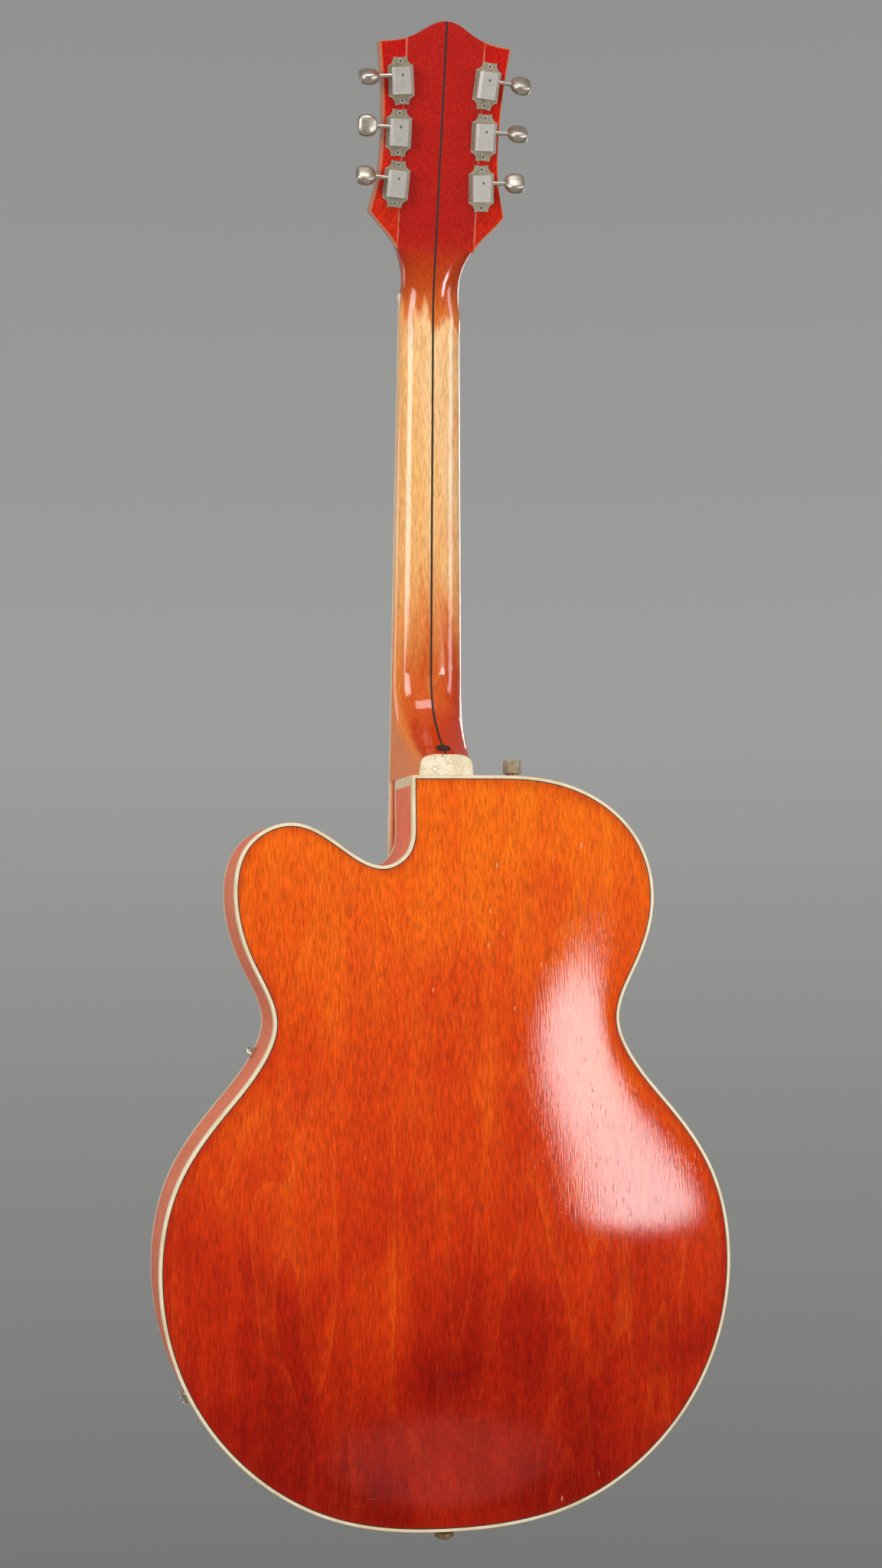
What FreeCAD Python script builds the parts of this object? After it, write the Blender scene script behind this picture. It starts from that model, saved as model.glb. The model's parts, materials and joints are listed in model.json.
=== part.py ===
"""Archtop guitar with a single cutaway, in millimetres.

Origin: the tail of the body, on the centre line, half way through its depth.
+Z runs up the neck, +Y is the back of the body, +X is the treble side.
"""
import FreeCAD
import Part
import math
import os

V = FreeCAD.Vector

# Body
body_length = 524.0
lower_bout = 406.0
body_depth = 70.0
cutaway_wall = 24.8
wall_length_share = 0.07
side_shares = [
    (0.741, 0.835), (0.679, 0.7455), (0.609, 0.667), (0.652, 0.622), (0.790, 0.553),
    (0.935, 0.470), (1.0, 0.355), (0.900, 0.187), (0.700, 0.088), (0.440, 0.026),
]
cutaway_shares = [
    (0.140, 0.898), (0.215, 0.879), (0.320, 0.892), (0.430, 0.9215), (0.530, 0.936), (0.620, 0.930),
    (0.700, 0.905),
]
shoulder_shares = [(0.700, 0.905), (0.570, 0.962), (0.360, 0.995), (0.170, 1.0)]
outline_samples = 160

# Plates, rim and their trim
plate_thickness = 4.0
back_arch = 14.0
top_arch = 17.0
arch_border = 7.0
arch_spread = 75.0
arch_step = 9.0
arch_power = 1.4
plate_relief = 0.4
rim_thickness = 3.2
glue_line = 0.1
lining_width = 7.0
lining_depth = 13.0
binding_width = 2.2
binding_depth = 6.5
purfling_width = 0.7
strip_height = 7.0
strip_thickness = 1.0
overrun = 5.0

# Blocks and bars inside the body
neck_block_length = 46.0
neck_block_reach = 42.0
end_block_length = 24.0
end_block_width = 76.0
tenon_width = 28.0
tenon_length = 18.0
tenon_depth = 44.0
bar_width = 8.0
bar_height = 11.0
bar_offset = 46.0
bar_low_share = 0.28
bar_high_share = 0.80

# Sound holes in the top
f_hole_length = 150.0
f_hole_width = 44.0
f_hole_offset = 88.0
f_hole_height_share = 0.45
f_eye_upper = 8.0
f_eye_lower = 9.5
f_eye_place_shares = (0.30, 0.34)
f_stem_shares = [
    (-0.23, 0.43), (0.05, 0.40), (0.21, 0.30), (0.18, 0.13), (0.14, 0.0), (0.12, -0.13), (0.16, -0.27),
    (0.32, -0.28), (0.23, -0.44), (-0.05, -0.41), (-0.21, -0.31), (-0.18, -0.15), (-0.14, 0.0),
    (-0.12, 0.13), (-0.16, 0.28), (-0.32, 0.28),
]

# Neck
scale_length = 635.0
joint_fret = 14
fret_count = 20
neck_angle = 5.0
board_lift = 7.0
board_thickness = 6.0
board_radius = 305.0
board_tail = 6.0
nut_width = 44.6
joint_width = 53.4
shaft_depth_nut = 15.0
shaft_depth_heel = 18.0
heel_length = 80.0
heel_depth = 110.0
heel_section_shares = [
    (-0.15, 1.0, 8.0, 0.38), (0.10, 0.985, 8.0, 0.38), (0.175, 0.880, 7.5, 0.37), (0.25, 0.640, 6.0, 0.30),
    (0.33, 0.470, 4.4, 0.19), (0.43, 0.320, 3.3, 0.11), (0.56, 0.165, 2.7, 0.05), (0.66, 0.090, 2.5, 0.03),
    (0.75, 0.042, 2.4, 0.02), (0.87, 0.012, 2.3, 0.01), (1.0, 0.0, 2.3, 0.0),
]
shaft_roundness = 2.3
tongue_inset = 1.0
tongue_depth = 14.0
heel_sections = 24
section_points = 20
section_steps = 400
stripe_width = 1.6
heel_cap_thickness = 1.8
plug_width = 11.0
plug_length = 5.5
plug_depth = 9.0
plug_height = 20.0
board_binding_width = 1.6
fret_width = 2.4
fret_height = 1.1
marker_radius = 3.2
marker_depth = 1.5
marker_frets = (3, 5, 7, 9, 12, 15, 17, 19)
nut_thickness = 5.0
nut_rise = 2.4
truss_radius = 2.5
truss_depth = 6.5
truss_clearance = 0.1
truss_end = 22.0
truss_reach = 16.0
truss_pocket_radius = 4.6
truss_pocket_reach = 42.0

# Headstock
head_break = 12.5
head_length = 190.0
head_half_width = 48.8
head_thickness = 16.0
veneer_thickness = 1.6
root_overlaps = (24.0, 8.0)
root_step = 0.06
wing_joint = 28.0
root_section_shares = [(0.455, 0.080, 3.0), (0.500, 0.125, 4.5), (0.565, 0.165, 9.0)]
head_lower_shares = [(0.445, 0.0), (0.455, 0.08), (0.500, 0.125), (0.585, 0.177),
                     (0.760, 0.232), (1.0, 0.300)]
head_upper_shares = [(1.0, 0.300), (0.955, 0.350), (0.905, 0.405), (0.862, 0.516), (0.880, 0.730),
                     (0.925, 0.842), (0.960, 0.916)]
head_top_shares = [(0.960, 0.916), (0.768, 0.922), (0.576, 0.934), (0.384, 0.957), (0.192, 0.988), (0.0, 1.0)]
cover_plate_length = 54.0
cover_plate_width = 22.0
cover_plate_tip = 9.0
cover_plate_thickness = 2.0

# Hanging place, on the centre line under the headstock's flare
hanger_place = 45.0

# Tuners
tuner_offset = 31.1
tuner_first = 76.7
tuner_spacing = 35.5
tuner_lean_degrees = (-3.0, 0.0, 5.5)
plate_width = 18.4
plate_length = 33.0
plate_gauge = 1.0
shoulder_share = 0.64
tab_share = 0.56
scallop_share = 0.67
tab_dip = 0.5
screw_inset = 3.0
screw_head_radius = 1.6
screw_head_height = 0.8
screw_shank_radius = 1.0
screw_length = 9.0
cover_width = 14.4
cover_length = 18.6
cover_height = 8.6
cover_bevel = 1.8
cover_gauge = 0.7
oil_hole_radius = 0.9
worm_height = 5.0
worm_offset = 3.7
worm_radius = 2.3
worm_groove = 0.6
worm_turns = 4
shaft_radius = 1.55
shaft_reach = 17.6
gear_gap = 0.2
gear_radius = 4.4
gear_thickness = 3.0
gear_tooth = 0.8
gear_teeth = 15
button_length = 14.0
button_width = 15.0
button_thickness = 9.0
button_section_shares = [(0.0, 0.34), (0.14, 0.74), (0.36, 0.97), (0.64, 1.0), (0.86, 0.90), (1.0, 0.60)]
button_squareness = 3.2
button_points = 14
button_turn_degrees = (40.0, 60.0, 55.0, 66.0, 3.0, 44.0)
post_radius = 3.1
post_waist_radius = 2.4
post_waist_height = 6.0
post_collar = 2.2
post_tip = 3.2
running_gap = 0.05
bushing_radius = 4.6
bushing_depth = 8.0
flange_radius = 5.8
flange_thickness = 1.2

# Strings
string_count = 6
string_radius = 0.66
string_radius_shares = (1.0, 0.80, 0.62, 0.46, 0.32, 0.25)
nut_string_spacing = 7.1
bridge_string_spacing = 10.4
string_over_nut = 1.8
string_over_board_end = 5.0
string_gap = 0.15
slot_play = 0.1
ball_radius = 2.0

# Bridge
bridge_base_length = 118.0
bridge_base_width = 13.0
bridge_base_height = 7.0
bridge_foot_share = 0.36
bridge_arch_rise = 3.0
saddle_length = 106.0
saddle_width = 9.0
saddle_height = 11.0
stud_radius = 2.0
stud_spacing = 74.0
stud_sink = 5.0
wheel_radius = 8.0
wheel_thickness = 3.0
wheel_play = 0.25
wheel_drop = 1.6

# Tailpiece and end pin
tail_bar_height = 150.0
tail_bar_length = 86.0
tail_bar_width = 12.0
tail_bar_thickness = 8.0
tail_lift = 13.0
tail_rod_radius = 2.6
tail_rod_foot = 11.0
hanger_width = 30.0
hanger_gauge = 2.0
hanger_reach = 46.0
hanger_fold = 10.0
hinge_radius = 2.0
hinge_clearance = 0.05
barrel_radius = 4.2
pin_head_radius = 6.7
pin_head_height = 5.5
pin_neck_radius = 3.6
pin_neck_length = 6.5
pin_shank_radius = 3.0
pin_shank_length = 20.0

# Pickup, controls and jack
pickup_length = 70.0
pickup_width = 36.0
pickup_height_gap = 5.5
pickup_body_depth = 20.0
pickup_ring_border = 7.0
pickup_play = 0.5
pickup_place = 22.0
pole_radius = 2.4
pole_rise = 0.8
pole_depth = 12.0
knob_radius = 11.5
knob_height = 15.0
knob_lift = 1.5
knob_flutes = 24
knob_flute_radius = 0.8
control_places_shares = [(0.63, 0.235), (0.43, 0.135)]
pot_radius = 10.0
pot_height = 9.0
pot_shaft_radius = 3.0
pot_bushing_radius = 4.6
pot_bushing_rise = 1.0
lead_radius = 1.6
lead_gap = 0.3
lead_depth_share = 0.30
jack_height_share = 0.183
jack_place = 5.0
jack_bore_radius = 3.25
jack_barrel_radius = 4.7
jack_stand_out = 4.0
jack_body_radius = 7.5
jack_body_length = 24.0
jack_nut_width = 12.7
jack_nut_thickness = 2.5
jack_washer_radius = 7.6
jack_stand_off = 0.15
jack_washer_thickness = 0.9

# Strap knob
strap_offset = 55.5
strap_stud_radius = 2.2
strap_stud_sink = 16.0
strap_collar_radius = 4.4
strap_collar_height = 3.6
strap_knob_radius = 6.5
strap_knob_height = 9.5
strap_knob_roof = 2.0
strap_knob_play = 0.3
knurl_count = 30
knurl_radius = 0.5

# Pickguard
guard_thickness = 2.4
guard_clearance = 4.0
guard_gap = 9.0
guard_width = 46.0
guard_top_share = 0.80
guard_bottom_share = 0.52
guard_corner = 14.0
bracket_height_share = 0.628
bracket_radius = 1.8
bracket_foot_width = 8.6
bracket_foot_length = 17.0
bracket_stand_off = 0.15
bracket_foot_gauge = 1.6
bracket_screw_radius = 3.0
bracket_screw_head = 1.4
bracket_screw_length = 10.0

# Sizes that follow from the ones above
half_width = lower_bout / 2
half_depth = body_depth / 2
inner_plane = half_depth - plate_thickness
glued_plane = inner_plane - glue_line
plate_inset = binding_width + purfling_width
arch_inset = plate_inset + arch_border
nut_place = scale_length * (1 - 2 ** (-joint_fret / 12))
bridge_place = nut_place - scale_length
board_end = nut_place - scale_length * (1 - 2 ** (-fret_count / 12)) - board_tail
board_slope = (joint_width - nut_width) / nut_place
head_start = nut_place + nut_thickness
gear_center = worm_offset - worm_radius - gear_gap - gear_radius
jack_height = jack_height_share * body_length

NECK = FreeCAD.Placement(
    V(0, -half_depth - board_lift, body_length), FreeCAD.Rotation(V(1, 0, 0), -neck_angle))
HEAD = NECK.multiply(
    FreeCAD.Placement(V(0, 0, head_start), FreeCAD.Rotation(V(1, 0, 0), -head_break)))


def moved(shape, placement):
    """A copy of a shape carried to another place."""
    copy = shape.copy()
    copy.Placement = placement.multiply(copy.Placement)
    return copy


def box(low, high):
    """A box between two corners."""
    size = high - low
    return Part.makeBox(size.x, size.y, size.z, low)


def rod(radius, start, end):
    """A round bar between two points."""
    run = end - start
    return Part.makeCylinder(radius, run.Length, start, run)


def tube(outer, inner, start, end):
    """A round sleeve between two points."""
    run = end - start
    hole = Part.makeCylinder(inner, run.Length + 2 * overrun, start - run.normalize() * overrun, run)
    return rod(outer, start, end).cut(hole)


def fused(shapes):
    """One solid from shapes that meet."""
    return shapes[0].multiFuse(shapes[1:]).removeSplitter()


def group(shapes):
    """Separate solids that share one node."""
    return Part.makeCompound(shapes)


def fitted(points, first, last):
    """A smooth curve through points that starts and ends along given directions."""
    places = [0.0]
    for before, after in zip(points, points[1:]):
        places.append(places[-1] + (after - before).Length)
    curve = Part.BSplineCurve()
    curve.interpolate(
        Points=points, Parameters=places, InitialTangent=first, FinalTangent=last, Scale=False)
    return curve


def spline(points):
    """An edge along a smooth curve through points."""
    curve = Part.BSplineCurve()
    curve.interpolate(Points=points)
    return curve.toShape()


def loop(points):
    """A closed smooth wire through points."""
    curve = Part.BSplineCurve()
    curve.interpolate(Points=points, PeriodicFlag=True)
    return Part.Wire([curve.toShape()])


def polygon(points):
    """A flat face with straight sides."""
    return Part.Face(Part.makePolygon(points + points[:1]))


# The body's outline

def outline_curve():
    """The outline from the foot of the cutaway's wall, round the tail, to the bass shoulder."""
    def place(share, side):
        return V(side * share[0] * half_width, 0, share[1] * body_length)

    foot = V(cutaway_wall, 0, body_length * (1 - wall_length_share))
    treble = [place(share, 1) for share in cutaway_shares + side_shares]
    bass = [place(share, -1) for share in side_shares[::-1] + shoulder_shares]
    return fitted([foot] + treble + [V(0, 0, 0)] + bass, V(0, 0, -1), V(1, 0, 0))


OUTLINE = outline_curve()


def outline_frames():
    """Points along the outline, each with the direction into the body."""
    first = OUTLINE.FirstParameter
    span = OUTLINE.LastParameter - first
    frames = []
    for k in range(outline_samples + 1):
        at = first + span * k / outline_samples
        along = OUTLINE.tangent(at)[0]
        frames.append((OUTLINE.value(at), V(along.z, 0, -along.x)))
    return frames


FRAMES = outline_frames()
WIRES = {}


def body_wire(inset):
    """The outline, drawn a distance inside the body's edge."""
    if inset not in WIRES:
        points = [point + inward * inset for point, inward in FRAMES]
        edge = fitted(points, V(0, 0, -1), V(1, 0, 0)).toShape()
        corner = V(cutaway_wall - inset, 0, body_length - inset)
        WIRES[inset] = Part.Wire(
            [edge, Part.makeLine(points[-1], corner), Part.makeLine(corner, points[0])])
    return WIRES[inset]


def body_prism(inset, low, high):
    """The solid inside an inset outline, between two depths."""
    face = Part.Face(body_wire(inset))
    face.translate(V(0, low, 0))
    return face.extrude(V(0, high - low, 0))


def body_ring(outer, inner, low, high):
    """The wall between two inset outlines, between two depths."""
    face = Part.makeFace([body_wire(outer), body_wire(inner)], "Part::FaceMakerBullseye")
    face.translate(V(0, low, 0))
    return face.extrude(V(0, high - low, 0))


def outline_at(test):
    """The outline's point and inward direction where a test of points changes from false to true."""
    for before, after in zip(FRAMES, FRAMES[1:]):
        low, high = test(before[0]), test(after[0])
        if low < 0 <= high:
            share = -low / (high - low)
            point = before[0] + (after[0] - before[0]) * share
            inward = before[1] + (after[1] - before[1]) * share
            return point, inward.normalize()
    raise ValueError("the outline has no such point")


# The arching that both plates share

def arch_inside(columns, rows):
    """For each grid row, the columns that lie inside the arch's border."""
    corners = body_wire(arch_inset).discretize(Number=4 * outline_samples)
    inside = []
    for z in rows:
        crossings = []
        for a, b in zip(corners, corners[1:] + corners[:1]):
            if (a.z > z) != (b.z > z):
                crossings.append(a.x + (b.x - a.x) * (z - a.z) / (b.z - a.z))
        crossings.sort()
        spans = list(zip(crossings[::2], crossings[1::2]))
        inside.append([i for i, x in enumerate(columns) if any(low < x < high for low, high in spans)])
    return inside


def arch_field():
    """Heights from 0 to 1 of an elastic skin that is blown up inside the arch's border."""
    margin = 2 * arch_step
    across = math.ceil((half_width + margin) / arch_step)
    along = math.ceil((body_length + 2 * margin) / arch_step)
    columns = [i * arch_step for i in range(-across, across + 1)]
    rows = [j * arch_step - margin for j in range(along + 1)]
    inside = arch_inside(columns, rows)
    skin = [[0.0] * len(columns) for _ in rows]
    stiffness = 4 + (arch_step / arch_spread) ** 2
    relaxation = 1.8
    for _ in range(2 * along + 2 * across):
        for j, members in enumerate(inside):
            for i in members:
                pull = skin[j - 1][i] + skin[j + 1][i] + skin[j][i - 1] + skin[j][i + 1] + 1
                skin[j][i] += relaxation * (pull / stiffness - skin[j][i])
    peak = max(max(row) for row in skin)
    lifts = [[(max(value, 0) / peak) ** arch_power for value in row] for row in skin]
    return columns, rows, lifts


COLUMNS, ROWS, LIFTS = arch_field()


def arch_lift(x, z):
    """The arching's share of its full height above a point."""
    across = (x - COLUMNS[0]) / arch_step
    along = (z - ROWS[0]) / arch_step
    i, j = int(across), int(along)
    s, t = across - i, along - j
    near = LIFTS[j][i] * (1 - s) + LIFTS[j][i + 1] * s
    far = LIFTS[j + 1][i] * (1 - s) + LIFTS[j + 1][i + 1] * s
    return near * (1 - t) + far * t


def top_y(x, z):
    """The depth of the top's outer face at a point."""
    return -half_depth - top_arch * arch_lift(x, z)


def arch_solid(side, base, height, reach):
    """The space from an arched face out to a distance; a negative reach fills under it."""
    points = [[V(x, side * (base + height * lift), z) for x, lift in zip(COLUMNS, row)]
              for z, row in zip(ROWS, LIFTS)]
    surface = Part.BSplineSurface()
    surface.interpolate(points)
    return surface.toShape().extrude(V(0, side * reach, 0))


def arched_plate(side, height):
    """A pressed plate with a flat edge and an arched middle."""
    slab = body_prism(plate_inset, side * inner_plane, side * (half_depth + height + overrun))
    above = arch_solid(side, half_depth, height, height + 2 * overrun)
    under = arch_solid(side, inner_plane - plate_relief, height, -height - 2 * overrun)
    return slab.cut(above).cut(under)


# Body

def f_hole(side):
    """One sound hole as a solid that reaches through the top."""
    def place(across, along):
        return V(side * (f_hole_offset + across * f_hole_width), -half_depth - top_arch - overrun,
                 f_hole_height_share * body_length + along * f_hole_length)

    depth = V(0, top_arch + plate_thickness + 2 * overrun, 0)
    stem = Part.Face(loop([place(*share) for share in f_stem_shares])).extrude(depth)
    across, along = f_eye_place_shares
    eyes = [Part.makeCylinder(f_eye_upper, depth.y, place(-across, along), depth),
            Part.makeCylinder(f_eye_lower, depth.y, place(across, -along), depth)]
    return fused([stem] + eyes)


def control_places():
    """Where the two controls pass through the top."""
    return [(x * half_width, z * body_length) for x, z in control_places_shares]


def pickup_height():
    """How far up the body the pickup's middle is."""
    return body_length + board_end - pickup_place - pickup_width / 2


def pickup_plan(grow, low, high):
    """The pickup's oblong, enlarged all round, between two depths."""
    middle = pickup_height()
    across = pickup_length / 2 + grow
    along = pickup_width / 2 + grow
    return box(V(-across, low, middle - along), V(across, high, middle + along))


def tenon():
    """The neck's tongue in the neck block."""
    return box(
        V(-tenon_width / 2, -tenon_depth / 2, body_length - tenon_length),
        V(tenon_width / 2, tenon_depth / 2, body_length))


def end_blocks():
    """The block under the neck and the block at the tail."""
    inside = body_prism(rim_thickness, -glued_plane, glued_plane)
    neck_block = box(
        V(-neck_block_reach, -half_depth, body_length - neck_block_length),
        V(cutaway_wall, half_depth, body_length))
    tail_block = box(
        V(-end_block_width / 2, -half_depth, -overrun),
        V(end_block_width / 2, half_depth, end_block_length))
    shank = rod(pin_shank_radius, V(0, 0, -overrun), V(0, 0, pin_shank_length))
    stud_hole = strap_axis_rod(strap_stud_radius, strap_stud_sink)
    return [inside.common(neck_block).cut(tenon()).cut(stud_hole), inside.common(tail_block).cut(shank)]


def build_body():
    """The box of the guitar: plates, rim, trim and what stiffens it inside."""
    nodes = {}
    back_low, back_high = half_depth - binding_depth, half_depth
    blocks = end_blocks()
    jack_hole = jack_rod(jack_barrel_radius, -jack_body_length, jack_body_length)
    bracket_hole = bracket_rod(bracket_radius, bracket_screw_length)
    pin_hole = rod(pin_shank_radius, V(0, 0, -overrun), V(0, 0, pin_shank_length))
    stud_hole = strap_axis_rod(strap_stud_radius, strap_stud_sink)

    top = arched_plate(-1, top_arch)
    top = top.cut(f_hole(1)).cut(f_hole(-1))
    top = top.cut(pickup_plan(pickup_play, -half_depth - top_arch - overrun, -inner_plane + overrun))
    for x, z in control_places():
        top = top.cut(rod(pot_bushing_radius, V(x, -half_depth - top_arch - overrun, z), V(x, 0, z)))
    nodes["top_plate"] = top
    nodes["back_plate"] = arched_plate(1, back_arch)

    rim = fused([
        body_ring(0, rim_thickness, -back_low, back_low),
        body_ring(binding_width, rim_thickness, back_low, glued_plane),
        body_ring(binding_width, rim_thickness, -glued_plane, -back_low)])
    strip_slot = cutaway_strip()
    rim = rim.cut(strip_slot).cut(tenon()).cut(jack_hole).cut(bracket_hole).cut(pin_hole).cut(stud_hole)
    nodes["rim"] = rim
    nodes["cutaway_strip"] = strip_slot

    linings = []
    for side in (1, -1):
        ring = body_ring(rim_thickness, rim_thickness + lining_width,
                         side * (glued_plane - lining_depth), side * glued_plane)
        ring = ring.cut(blocks[0]).cut(blocks[1]).cut(tenon()).cut(bracket_hole).cut(jack_hole)
        linings += [ring.cut(pin_hole).cut(stud_hole)]
    nodes["linings"] = group(linings)
    nodes["end_blocks"] = group(blocks)

    under_top = arch_solid(-1, inner_plane - plate_relief, top_arch, -half_depth)
    under_bars = moved(under_top, FreeCAD.Placement(V(0, bar_height, 0), FreeCAD.Rotation()))
    bars = []
    for side in (1, -1):
        x = side * bar_offset
        bar = box(V(x - bar_width / 2, -half_depth - top_arch, bar_low_share * body_length),
                  V(x + bar_width / 2, 0, bar_high_share * body_length))
        bars.append(bar.common(under_top).cut(under_bars))
    nodes["tone_bars"] = group(bars)

    nodes["back_binding"] = body_ring(0, binding_width, back_low, back_high)
    nodes["top_binding"] = body_ring(0, binding_width, -back_high, -back_low)
    nodes["purfling_lines"] = group([
        body_ring(binding_width, plate_inset, inner_plane, half_depth),
        body_ring(binding_width, plate_inset, -half_depth, -inner_plane)])
    return nodes


def cutaway_strip():
    """The pale strip let into the end of the cutaway's wall, beside the heel."""
    return box(
        V(cutaway_wall - strip_thickness, -half_depth + binding_depth, body_length - strip_height),
        V(cutaway_wall, half_depth - binding_depth, body_length))


# Neck

def neck_half_width(along):
    """Half the neck's width at a distance above the body joint."""
    return (joint_width - board_slope * along) / 2


def squared(share, power):
    """A sine or cosine bent so that an ellipse grows square."""
    return math.copysign(abs(share) ** (2 / power), share)


def round_back(width, along, depth, roundness, taper):
    """The neck's round back from one cheek to the other, through points at even steps."""
    fine = []
    for k in range(section_steps + 1):
        turn = math.pi * k / section_steps
        sink = squared(math.sin(turn), roundness) if 0 < k < section_steps else 0
        fine.append(V(width * squared(math.cos(turn), roundness) * (1 - taper * sink), depth * sink, along))
    lengths = [0]
    for start, end in zip(fine, fine[1:]):
        lengths.append(lengths[-1] + start.distanceToPoint(end))
    points = [fine[0]]
    for k in range(1, section_points):
        place = lengths[-1] * k / section_points
        after = next(n for n, length in enumerate(lengths) if length >= place)
        share = (place - lengths[after - 1]) / (lengths[after] - lengths[after - 1])
        points.append(fine[after - 1] + (fine[after] - fine[after - 1]) * share)
    points.append(fine[-1])
    curve = Part.BSplineCurve()
    curve.interpolate(Points=points, Parameters=[k / section_points for k in range(section_points + 1)])
    return curve.toShape(), points[0], points[-1]


def neck_section(along, depth, roundness, taper):
    """A section across the neck: flat under the fingerboard and round at the back."""
    back, start, end = round_back(neck_half_width(along), along, depth, roundness, taper)
    return Part.Wire([back, Part.makeLine(end, start)])


def root_section(width, along, depth, roundness):
    """A section of the headstock's root: a round back, and cheeks that reach past the front."""
    back, start, end = round_back(width, along, depth, roundness, 0)
    front = [end - V(0, depth, 0), start - V(0, depth, 0)]
    return Part.Wire([back, Part.makeLine(end, front[0]), Part.makeLine(*front),
                      Part.makeLine(front[1], start)])


def shaft_depth(along):
    """How deep the neck is at a distance above the body joint, beyond its heel."""
    share = (along - heel_length) / (nut_place - heel_length)
    return shaft_depth_heel + (shaft_depth_nut - shaft_depth_heel) * share


def heel_row(share):
    """The heel's depth, roundness and taper at a share of its length, between the listed sections."""
    after = next(k for k, row in enumerate(heel_section_shares) if k and row[0] >= share)
    low, high = heel_section_shares[after - 1], heel_section_shares[after]
    part = (share - low[0]) / (high[0] - low[0])
    return [a + (b - a) * part for a, b in zip(low[1:], high[1:])]


def neck_blank():
    """The neck's wood from the heel to the headstock's root, in the neck's own frame."""
    first, last = heel_section_shares[0][0], heel_section_shares[-1][0]
    heel = []
    for k in range(heel_sections + 1):
        share = min(last, first + (last - first) * k / heel_sections)
        deep, roundness, taper = heel_row(share)
        depth = shaft_depth_heel + deep * (heel_depth - shaft_depth_heel)
        heel.append(neck_section(share * heel_length, depth, roundness, taper))
    end = nut_place - root_overlaps[0]
    shaft = [heel[-1], neck_section(end, shaft_depth(end), shaft_roundness, 0)]
    return [Part.makeLoft(heel, True, False), Part.makeLoft(shaft, True, True)]


def head_wire(shares, side):
    """One stretch of the headstock's outline on one side."""
    return [V(side * x * head_half_width, 0, z * head_length) for x, z in shares]


def head_prism(front, back):
    """The headstock's outline as a solid between two depths, in its own frame."""
    lower = head_wire(head_lower_shares, 1)
    upper = head_wire(head_upper_shares, 1)
    top = head_wire(head_top_shares, 1) + head_wire(head_top_shares[-2::-1], -1)
    edges = [spline(lower), spline(upper), spline(top),
             spline(head_wire(head_upper_shares[::-1], -1)), spline(head_wire(head_lower_shares[::-1], -1))]
    base = Part.makeLine(V(-lower[0].x, 0, 0), lower[0])
    face = Part.Face(Part.Wire(edges + [base]))
    face.translate(V(0, front, 0))
    return face.extrude(V(0, back - front, 0))


def root_length():
    """How far up the headstock its root reaches."""
    return root_section_shares[-1][1] * head_length


def head_root():
    """The stretch where the round neck grows into the flat headstock."""
    reach = 2 * head_length
    sections = []
    for overlap in root_overlaps:
        along = nut_place - overlap
        section = root_section(neck_half_width(along), along, shaft_depth(along), shaft_roundness)
        sections.append(moved(section, NECK))
    depth = head_thickness - root_step
    for width, height, roundness in root_section_shares:
        section = root_section(width * head_half_width, height * head_length, depth, roundness)
        sections.append(moved(section, HEAD))
    before_neck = moved(box(V(-reach, -reach, 0), V(reach, 0, 2 * scale_length)), NECK)
    before_head = moved(box(V(-reach, -reach, 0), V(reach, veneer_thickness, reach)), HEAD)
    return Part.makeLoft(sections, True, False).cut([before_neck, before_head])


def neck_tongue():
    """The neck's wood under the end of the fingerboard, down to the top."""
    tongue = moved(board_plan(tongue_inset, board_end, overrun, 0, tongue_depth), NECK)
    return tongue.cut(arch_solid(-1, half_depth, top_arch, -2 * half_depth))


def tuner_placement(number):
    """Where a tuner sits: the first three run up the bass side, the rest down the treble side."""
    side = -1 if number < 3 else 1
    row = number if number < 3 else 5 - number
    return side, HEAD.multiply(FreeCAD.Placement(
        V(side * tuner_offset, head_thickness, tuner_first + row * tuner_spacing),
        FreeCAD.Rotation(V(0, 1, 0), side * tuner_lean_degrees[row])))


def half_space(low, high):
    """A tall slab across the neck, between two distances from the centre line."""
    reach = body_length + scale_length
    return box(V(low, -reach, -reach), V(high, reach, 2 * reach))


def headstock_drilling():
    """Everything that is bored or let into the headstock."""
    holes = []
    for number in range(string_count):
        _, place = tuner_placement(number)
        bore = rod(bushing_radius, V(0, -head_thickness - overrun, gear_center), V(0, 0, gear_center))
        screws = [rod(screw_shank_radius, V(0, -screw_length, z), V(0, 0, z)) for z in screw_places()]
        holes += [moved(hole, place) for hole in [bore] + screws]
    holes.append(moved(truss_pocket(), NECK))
    return holes


def truss_pocket():
    """The channel that the truss rod lies in, with the scoop for its nut."""
    y = truss_depth
    channel = rod(truss_radius + truss_clearance, V(0, y, truss_end), V(0, y, head_start + truss_reach))
    low, high = head_start + truss_reach / 2, head_start + truss_pocket_reach
    scoop = rod(truss_pocket_radius, V(0, y, low), V(0, y, high))
    return fused([channel, scoop])


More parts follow.
